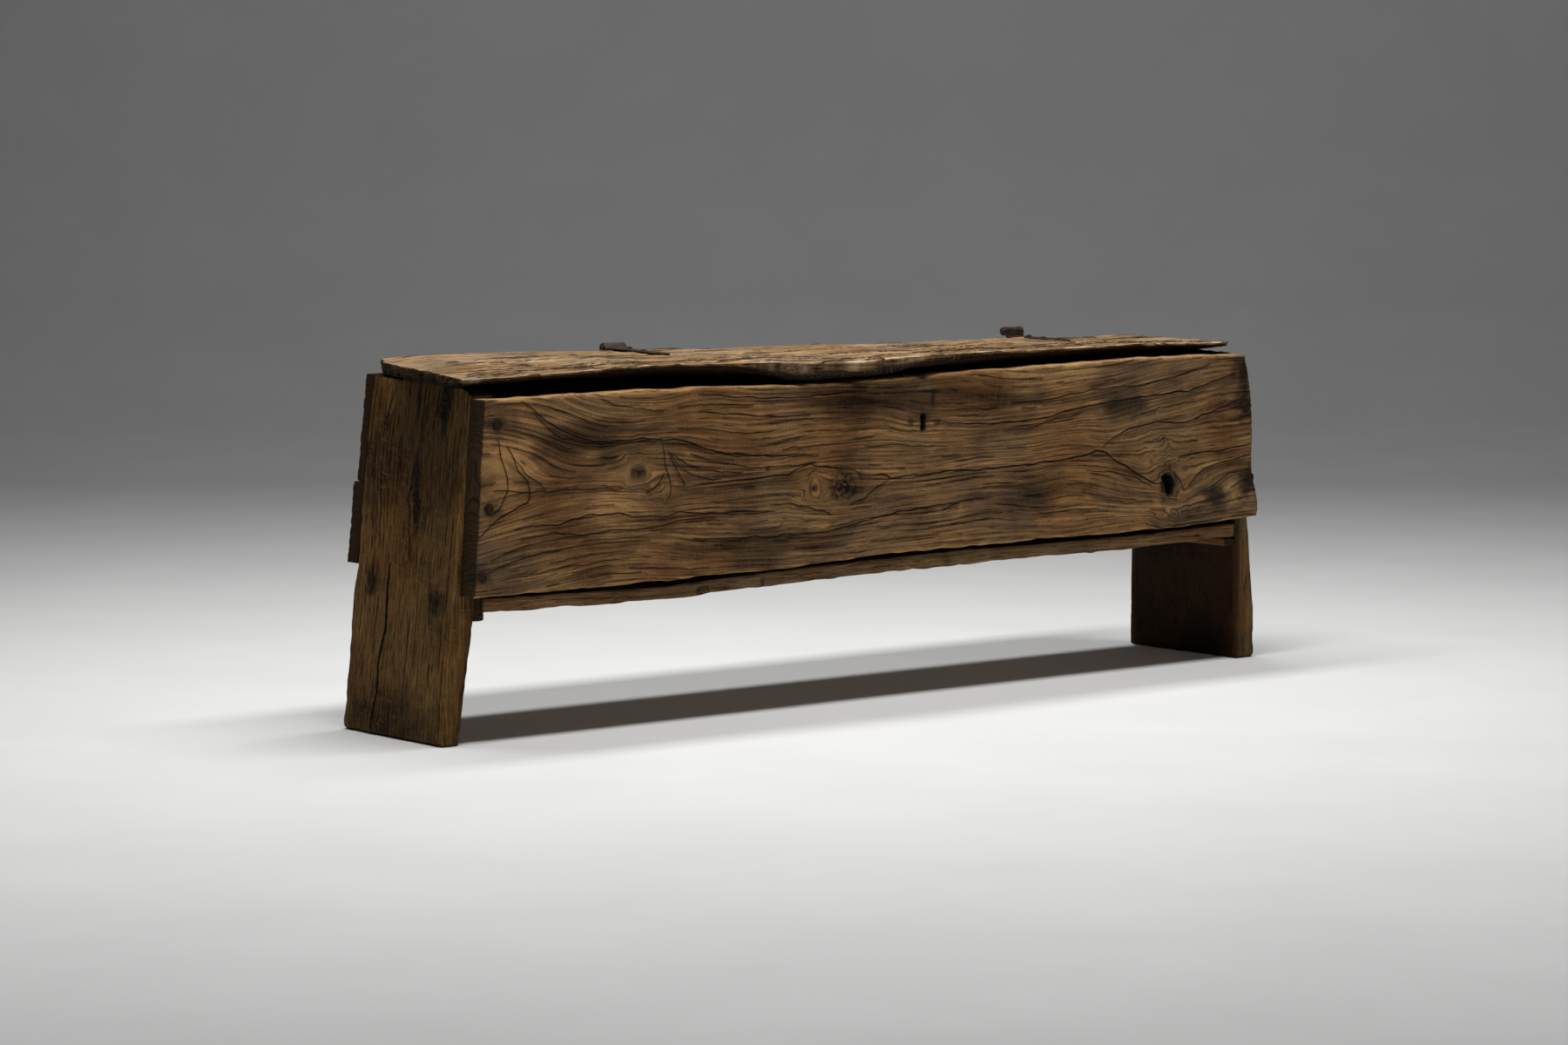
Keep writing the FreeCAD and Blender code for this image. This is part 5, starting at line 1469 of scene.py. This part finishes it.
@dataclass
class Hinge:
    """A wrought strap hinge: a strap on the lid, a leaf on the upper back board and a riveted pin.

    Strap and leaf are hammered from flat bar, drawn out to a point, and curled round the pin.
    """

    side: str
    place: float
    lid_top: tuple[float, float]
    axis: Place = (186.0, 627.0)
    barrel_radius: float = 8.5
    pin_radius: float = 3.5
    width: float = 48.8
    leaf_width: float = 44.0
    strap_length: float = 162.0
    leaf_length: float = 92.0
    leaf_face: float = 184.5
    thickness: float = 3.4
    seed: int = 61

    def sheet(
        self, path: Sequence[Place], sides: Sequence[Place], width: float, middle: float, thickness: float
    ) -> Pair:
        """A strip of hammered iron along a path seen from the side.

        Args:
            path: Places of the strip's middle plane, as depth and height.
            sides: Pairs of a share of its length and its half width there, as a share of width.
            width: The width that the half widths are shares of.
            middle: Place of the strip's middle along the chest.
            thickness: How thick it is.

        Returns:
            Its vertices and faces.
        """
        corners = np.array(path, float)
        length = distances(corners)[-1]
        cell, probe = 2.2, 0.8
        shares, quads, _ = box_grid((max(int(length / cell), 8), 14, 2))
        s, t, r = shares.T
        run = s * length
        centre, ahead, behind = (on_path(corners, run + step) for step in (0.0, probe, -probe))
        along = (ahead - behind) / np.linalg.norm(ahead - behind, axis=1, keepdims=True)
        up = np.stack([along[:, 1], -along[:, 0]], axis=1)
        edge = np.abs(t - 0.5) * 2
        hammer = noise(self.seed, run / 7, t * 5) * 0.25 + noise(self.seed + 1, run / 3, t * 9) * 0.1
        high = (0.5 - r) * thickness * (1 - 0.35 * edge**4) + hammer * (r < 0.5)
        half = np.interp(s, *zip(*sides)) * width * (1 + 0.03 * noise(self.seed + 2, run / 9, t > 0.5))
        points = np.empty((len(s), 3))
        points[:, 0] = middle + (t - 0.5) * 2 * half
        points[:, 1:] = centre + up * high[:, None]
        return points, quads[:, ::-1] if inside_out(points, quads) else quads

    def curl(self, start: float, turn: float, middle: float, half: float) -> Pair:
        """A knuckle: the bar's end, curled round the pin.

        Args:
            start: Angle where the curl begins, in degrees from straight back, upwards.
            turn: How far it goes round, in degrees.
            middle: Place of its middle along the chest.
            half: Half its length.

        Returns:
            Its vertices and faces.
        """
        radius = self.barrel_radius - 2.2
        angles = np.radians(np.linspace(start, start + turn, 40))
        path = [(self.axis[0] + radius * math.cos(a), self.axis[1] + radius * math.sin(a)) for a in angles]
        return self.sheet(path, ((0, 1), (1, 1)), half, middle, 4.2)

    def rod(self) -> Pair:
        """The pin, its two ends hammered over into heads.

        Returns:
            Its vertices and faces.
        """
        half = self.width / 2
        # How far out each step of a head lies, and its radius.
        head = ((2.8, 2.6), (2.5, 4.4), (1.4, 5.3), (0.4, 5.2), (0.2, self.pin_radius))
        steps = [(-half - out, radius) for out, radius in head] + [(0.0, self.pin_radius)]
        steps += [(half + out, radius) for out, radius in reversed(head)]
        sides = 16
        rings = []
        for x, radius in steps:
            for index in range(sides):
                angle = 2 * math.pi * index / sides
                wobble = 1 + 0.05 * float(noise(self.seed + 7, angle * 2, x / 3))
                y = self.axis[0] + radius * wobble * math.cos(angle)
                rings.append((self.place + x, y, self.axis[1] + radius * wobble * math.sin(angle)))
        quads = []
        for ring in range(len(steps) - 1):
            for i in range(sides):
                one, two = ring * sides + i, ring * sides + (i + 1) % sides
                quads.append((one, two, two + sides, one + sides))
        for ring, x in ((0, -half - 3), (len(steps) - 1, half + 3)):
            centre = len(rings)
            rings.append((self.place + x, *self.axis))
            quads += [
                (centre, centre, ring * sides + (i + 1) % sides, ring * sides + i)[:: -1 if ring else 1]
                for i in range(sides)
            ]
        points, faces = np.array(rings), np.array(quads)
        return points, faces[:, ::-1] if inside_out(points, faces) else faces

    def build(self, finish: bpy.types.Material) -> None:
        """Builds strap, leaf and pin.

        Args:
            finish: Their iron.
        """
        y, z = self.axis
        slope, top = self.lid_top
        reach = self.strap_length - self.barrel_radius
        lift = 1.9
        path = [(y - 1, z + 6.2), (y - 5, z + 4.6), (y - 9, top + lift)]
        for share in (0.05, 0.5, 1):
            path.append((y - self.barrel_radius - share * reach, top + lift - share * reach * slope))
        sides = ((0.0, 0.5), (0.05, 0.5), (0.14, 0.44), (0.24, 0.30), (0.70, 0.24), (0.84, 0.27), (1.0, 0.05))
        strap = [self.sheet(path, sides, self.width, self.place, self.thickness)]
        for side in (-1, 1):
            strap.append(self.curl(100, -290, self.place + side * 16.4, 8))
        face = self.leaf_face + 1.5
        path = [(y - 4, z - 7), (face, z - 14), (face, z - self.leaf_length)]
        sides = ((0.0, 0.18), (0.06, 0.18), (0.12, 0.5), (0.62, 0.44), (0.90, 0.30), (1.0, 0.10))
        leaf = [self.sheet(path, sides, self.leaf_width, self.place, 2.8)]
        leaf.append(self.curl(-110, 290, self.place, 7.9))
        for label, parts, body in (
            ("strap", strap, Body.LID),
            ("leaf", leaf, Body.BOX),
            ("pin", [self.rod()], Body.BOX),
        ):
            starts = np.cumsum([0] + [len(points) for points, _ in parts])
            points = np.concatenate([points for points, _ in parts])
            # A face that names a corner twice is a triangle.
            quads = np.concatenate([faces + start for start, (_, faces) in zip(starts, parts)])
            quads = [tuple(dict.fromkeys(quad)) for quad in quads]
            item = new_object(f"{self.side}_hinge_{label}_forged", points, quads)
            item.data.set_sharp_from_angle(angle=math.radians(50))
            hand_over(item, finish, body, [f"{self.side}_hinge_{label}"])


@dataclass(frozen=True)
class Nail:
    """A hand-forged nail: where the underside of its head sits, which way it faces and its sizes."""

    place: Point
    facing: Point
    radius: float
    height: float
    side: float
    length: float


@dataclass
class NailSet:
    """All the forged nails that ride on one body."""

    name: str
    body: Body
    nodes: tuple[str, ...]
    nails: tuple[Nail, ...]
    head_sides: int = 9
    hammering: float = 0.0011
    seed: int = 4

    def group(self) -> bpy.types.NodeTree:
        """Makes the node group that sets a head and a shank on each point.

        Returns:
            The group.
        """
        tree = bpy.data.node_groups.new("forged_nails", "GeometryNodeTree")
        for label, kind in (
            ("Geometry", "NodeSocketGeometry"),
            ("Head sides", "NodeSocketInt"),
            ("Hammering", "NodeSocketFloat"),
            ("Seed", "NodeSocketInt"),
            ("Finish", "NodeSocketMaterial"),
        ):
            tree.interface.new_socket(label, in_out="INPUT", socket_type=kind)
        tree.interface.new_socket("Geometry", in_out="OUTPUT", socket_type="NodeSocketGeometry")
        add = partial(add_node, tree)
        given = add("NodeGroupInput").outputs
        facing = add("GeometryNodeInputNamedAttribute", {"data_type": "FLOAT_VECTOR"}, {"Name": "facing"})
        aim = add("FunctionNodeAlignEulerToVector", {"axis": "Z"}, {"Vector": facing})
        whole_turn = 6.28
        inputs = {2: 0.0, 3: whole_turn, "Seed": given["Seed"]}
        spin = add("FunctionNodeRandomValue", {"data_type": "FLOAT"}, inputs)
        turned = add(
            "FunctionNodeRotateEuler",
            {"rotation_type": "AXIS_ANGLE", "space": "LOCAL"},
            {"Rotation": aim, "Axis": (0.0, 0.0, 1.0), "Angle": spin.outputs[1]},
        )
        inputs = {"Vertices": given["Head sides"], "Side Segments": 3, "Fill Segments": 1}
        inputs |= {"Radius Top": 0.62, "Radius Bottom": 1.0, "Depth": 1.0}
        cone = add("GeometryNodeMeshCone", {"fill_type": "TRIANGLE_FAN"}, inputs)
        head = add("GeometryNodeSubdivisionSurface", {}, {"Mesh": cone, "Level": 1})
        shank = add(
            "GeometryNodeMeshCone",
            {"fill_type": "NGON"},
            {"Vertices": 4, "Side Segments": 2, "Radius Top": 0.707, "Radius Bottom": 0.25, "Depth": 1.0},
        )
        shank = add("GeometryNodeTransform", {}, {"Geometry": shank, "Translation": (0.0, 0.0, -1.0)})
        joined = add("GeometryNodeJoinGeometry")
        for label, mesh, spun in (("head_scale", head, turned), ("shank_scale", shank, aim)):
            scale = add("GeometryNodeInputNamedAttribute", {"data_type": "FLOAT_VECTOR"}, {"Name": label})
            inputs = {"Points": given["Geometry"], "Instance": mesh, "Rotation": spun, "Scale": scale}
            placed = add("GeometryNodeInstanceOnPoints", {}, inputs)
            tree.links.new(placed.outputs[0], joined.inputs[0])
        real = add("GeometryNodeRealizeInstances", {}, {"Geometry": joined})
        where = add("GeometryNodeInputPosition")
        bumps = add("ShaderNodeTexNoise", {}, {"Vector": where, "Scale": 210.0, "Detail": 1.0})
        inputs = {0: bumps.outputs["Color"], 1: (0.5, 0.5, 0.5)}
        centred = add("ShaderNodeVectorMath", {"operation": "SUBTRACT"}, inputs)
        push = add("ShaderNodeVectorMath", {"operation": "SCALE"}, {0: centred, "Scale": given["Hammering"]})
        hammered = add("GeometryNodeSetPosition", {}, {"Geometry": real, "Offset": push})
        dressed = add("GeometryNodeSetMaterial", {}, {"Geometry": hammered, "Material": given["Finish"]})
        add("NodeGroupOutput", {}, {"Geometry": dressed})
        return tree

    def build(self, finish: bpy.types.Material) -> None:
        """Builds the nails as one plain mesh.

        Args:
            finish: Their iron.
        """
        points = np.array([nail.place for nail in self.nails])
        fields = {
            "facing": np.array([nail.facing for nail in self.nails]),
            "head_scale": np.array([(nail.radius, nail.radius, nail.height) for nail in self.nails]) * MM,
            "shank_scale": np.array([(nail.side, nail.side, nail.length) for nail in self.nails]) * MM,
        }
        seats = new_object(f"{self.name}_seats", points, np.zeros((0, 4), int), fields)
        modifier = seats.modifiers.new("nails", "NODES")
        modifier.node_group = self.group()
        given = {"Head sides": self.head_sides, "Hammering": self.hammering}
        given |= {"Seed": self.seed, "Finish": finish}
        for socket in modifier.node_group.interface.items_tree:
            if socket.in_out == "INPUT" and socket.name in given:
                modifier[socket.identifier] = given[socket.name]
        graph = bpy.context.evaluated_depsgraph_get()
        mesh = bpy.data.meshes.new_from_object(seats.evaluated_get(graph), depsgraph=graph)
        bpy.data.objects.remove(seats)
        mesh.name = self.name
        item = bpy.data.objects.new(self.name, mesh)
        bpy.context.scene.collection.objects.link(item)
        mesh.set_sharp_from_angle(angle=math.radians(48))
        hand_over(item, finish, self.body, self.nodes)


@dataclass
class Nailing:
    """Where every nail of the chest sits.

    A kind of nail has its head's radius and height and its shank's side; the shank's length comes last.
    """

    large: Point = (11.5, 2.4, 6.0)
    small: Point = (6.5, 2.4, 3.0)
    lock: Point = (5.0, 1.8, 3.0)
    front_face: float = -172.5
    upper_back: float = 184.5
    lower_back: float = 193.5
    back_joint: float = 417.0
    hinges: Place = (-354.0, 606.0)
    lock_middle: float = 67.0
    staple_middle: float = 54.0

    def box(self, finish: bpy.types.Material) -> None:
        """Builds the nails of the box.

        Args:
            finish: Their iron.
        """
        nails = []
        for x, z in ((-862, 531), (-880, 393), (-894, 282), (873, 556), (879, 488), (894, 352)):
            nails.append(Nail((x, self.front_face, z), (0, -1, 0), *self.large, 80))
        for side in (-1, 1):
            for x, z in ((862, 558), (879, 456), (886, 390), (896, 306)):
                y = self.upper_back if z > self.back_joint else self.lower_back
                nails.append(Nail((side * x, y, z), (0, 1, 0), *self.large, 80))
        for y, z, x in ((111.5, 255, -921.7), (-81.6, 237, -923.7)):
            nails.append(Nail((x, y, z), (-0.9934, 0, 0.1142), *self.large, 54))
        for y in (-76, 105):
            nails.append(Nail((933.8, y, 232.2), (0.991, 0, 0.134), *self.large, 54))
        for y in (-93.5, 122.5):
            nails.append(Nail((883.9, y, 262), (0, 0, 1), *self.small, 34))
        for x in self.hinges:
            for step, z in ((-11, 585.6), (11, 570), (0, 547.9)):
                nails.append(Nail((x + step, 187.5, z), (0, 1, 0), *self.small, 20))
        for step in (-36.8, 36.8):
            for z in (446.7, 551.6):
                nails.append(Nail((self.lock_middle + step, -129, z), (0, 1, 0), *self.lock, 43))
        nodes = ["floor_nails", "lock_nails"]
        for side in ("left", "right"):
            for place in ("front", "upper_back", "lower_back", "cleat", "leaf"):
                nodes.append(f"{side}_{place}_nails")
        NailSet("box_nails", Body.BOX, tuple(nodes), tuple(nails)).build(finish)

    def lid(self, finish: bpy.types.Material) -> None:
        """Builds the nails of the lid.

        Args:
            finish: Their iron.
        """
        nails = []
        for x, low, high, slope in zip(self.hinges, (621.6, 616), (627.6, 619), (0.04, 0.012)):
            for y, z in ((53.2, low), (96.9, (low + high) / 2), (137.4, high)):
                nails.append(Nail((x, y, z), (0, -slope, 1), *self.small, 18))
        for step in (-15.8, 15.8):
            nails.append(Nail((self.staple_middle + step, -107, 587.4), (0, 0, -1), *self.lock, 11))
        nodes = ("left_strap_nails", "right_strap_nails", "staple_nails")
        NailSet("lid_nails", Body.LID, nodes, tuple(nails), seed=9).build(finish)


# ---- Studio ----


@dataclass
class Studio:
    """A plain pale floor and soft light from overhead."""

    camera_place: Point = (-4.832, -5.7445, 1.007)
    heading: float = 39.4
    pitch: float = 5.33
    lens: float = 96.0

    def floor(self) -> None:
        """Builds the floor, which turns up into a backdrop far behind."""
        profile = ((-40.0, 0.0), (4.5, 0.0), (5.5, 0.12), (6.3, 0.45), (6.9, 1.0), (7.2, 1.8), (7.2, 12.0))
        turn = math.radians(-self.heading)
        points, quads = [], []
        cos, sin = math.cos(turn), math.sin(turn)
        reach = 40.0
        for y, z in profile:
            for x in (-reach, reach):
                points.append((x * cos - y * sin, x * sin + y * cos, z))
        for row in range(len(profile) - 1):
            quads.append((row * 2, row * 2 + 1, row * 2 + 3, row * 2 + 2))
        item = new_object("floor", np.array(points) / MM, np.array(quads))
        material, add = new_material("matt_floor_paint")
        place = add("ShaderNodeTexCoord").outputs["Object"]
        mottle = add("ShaderNodeTexNoise", {}, {"Vector": place, "Scale": 3.0, "Detail": 4.0})
        stops = ((0.3, "F0F0EF"), (0.7, "F5F5F4"))
        colour = add("ShaderNodeValToRGB", {"stops": stops}, {"Fac": mottle})
        surface = add("ShaderNodeBsdfPrincipled", {}, {"Base Color": colour, "Roughness": 0.85})
        add("ShaderNodeOutputMaterial", {}, {"Surface": surface})
        item.data.materials.append(material)

    def light(self) -> None:
        """Sets two long soft boxes overhead, before and behind the chest, a weak fill and an even sky."""
        for name, place, size, power in (
            ("front_box", (-0.2, -0.85, 3.5), (3.2, 0.5), 85.0),
            ("back_box", (-0.2, 0.70, 3.5), (3.2, 0.5), 62.0),
            ("fill", (-2.0, -5.0, 2.6), (3.0, 2.0), 12.0),
        ):
            lamp = bpy.data.lights.new(name, "AREA")
            lamp.shape = "RECTANGLE"
            lamp.size, lamp.size_y = size
            lamp.energy = power
            item = bpy.data.objects.new(name, lamp)
            item.location = place
            aim = Vector((0 if name == "fill" else place[0], 0, 0.35))
            item.rotation_euler = (aim - Vector(place)).to_track_quat("-Z", "Y").to_euler()
            bpy.context.scene.collection.objects.link(item)
        world = bpy.data.worlds.new("studio")
        world.use_nodes = True
        tree = world.node_tree
        tree.nodes.clear()
        sky = add_node(tree, "ShaderNodeBackground", {}, {"Color": linear("D8DADC"), "Strength": 0.04})
        add_node(tree, "ShaderNodeOutputWorld", {}, {"Surface": sky})
        bpy.context.scene.world = world

    def camera(self) -> None:
        """Sets the camera where the photograph was taken from."""
        data = bpy.data.cameras.new("camera")
        data.lens = self.lens
        data.sensor_width = 36.0
        data.clip_end = 60.0
        item = bpy.data.objects.new("camera", data)
        turn, dip = math.radians(self.heading), math.radians(self.pitch)
        forward = Vector((math.sin(turn) * math.cos(dip), math.cos(turn) * math.cos(dip), -math.sin(dip)))
        item.location = self.camera_place
        item.rotation_euler = forward.to_track_quat("-Z", "Y").to_euler()
        bpy.context.scene.collection.objects.link(item)
        bpy.context.scene.camera = item
        bpy.context.scene.view_settings.view_transform = "Standard"


def dress_cad(names: Sequence[str], finish: bpy.types.Material) -> None:
    """Gives nodes that are shown as they are a better material.

    Args:
        names: The nodes.
        finish: Their material.
    """
    for name in names:
        item = bpy.data.objects[name]
        for slot in item.material_slots:
            slot.material = finish
        LOG.info("%s: kept, in %s", name, finish.name)


def main() -> None:
    """Builds the chest and its studio."""
    logging.basicConfig(level=logging.INFO, format="%(message)s")
    # Oak that hands have darkened, with drying checks close together.
    front_wood = WoodFinish(
        "aged_front_oak", "3B2916", "6D5135", "926E46", "C19660", end_grain="30230F",
        checks=0.8, check_mm=9.0, blotches=0.6,
    ).material()
    # Oak left as the pit saw cut it: slanting rows of fine scratches, worn off in patches.
    end_wood = WoodFinish(
        "sawn_end_oak", "291B0F", "644926", "7F5D30", "987645", dust="6E5A3A", cool="453A30",
        saw_marks=2.0, saw_slant=0.3, blotches=0.6, shift=3.0,
    ).material()
    # The right end board's oak, grey-brown, even and darker than the left one's: painted shade for its inner
    # face, which is turned from the light.
    painted_shade_end_wood = WoodFinish(
        "painted_shade_end_oak", "31281C", "4F422B", "695839", "85714B", shift=5.0
    ).material()
    # Oak that has faced a wall, never planed or polished, dusty.
    back_wood = WoodFinish(
        "rough_back_oak", "33261A", "513E27", "67502F", "80663F", end_grain="331E08", dust="6E5C40", shift=7.0
    ).material()
    # Dry oak, pale where goods have rubbed it.
    floor_wood = WoodFinish(
        "dry_floor_oak", "52402B", "7A6141", "957852", "B09365", shift=9.0
    ).material()
    # Oak bleached by light and opened by drying, its torn edge and ends still dark.
    lid_wood = WoodFinish(
        "bleached_lid_oak", "513C28", "A18057", "D7B38A", "F4E2C2", warm="8C6A42", dust="B8AA94",
        deep="1A110A", end_grain="1A120B", checks=1.1, ring_mm=8.0, shift=11.0,
    ).material()
    # Wrought iron under thick old dirt, all but matt.
    nail_iron = IronFinish(
        "old_wrought_iron", "150E09", "2C2016", "3A220E", rust_share=0.7, metallic=0.0, roughness=0.8,
        specular=0.15,
    ).material()
    # Wrought iron that hands and the moving joint keep a little brighter.
    hinge_iron = IronFinish(
        "handled_hinge_iron", "191412", "40362F", "4A2A17", rust_share=0.5, metallic=0.4
    ).material()

    studio = Studio()
    studio.camera()
    studio.floor()
    studio.light()

    box = ChestBox()
    box.front(front_wood)
    box.legs(end_wood, painted_shade_end_wood)
    box.back(back_wood)
    box.floor(floor_wood)
    ChestLid().build(lid_wood)
    Hinge("left", -354, (0.03, 623.9)).build(hinge_iron)
    Hinge("right", 606, (0.01, 615.0), seed=67).build(hinge_iron)
    nailing = Nailing()
    nailing.box(nail_iron)
    nailing.lid(nail_iron)
    dress_cad(("lock_plate", "lock_case", "lock_bolt", "lid_staple"), nail_iron)


if __name__ == "__main__":
    main()
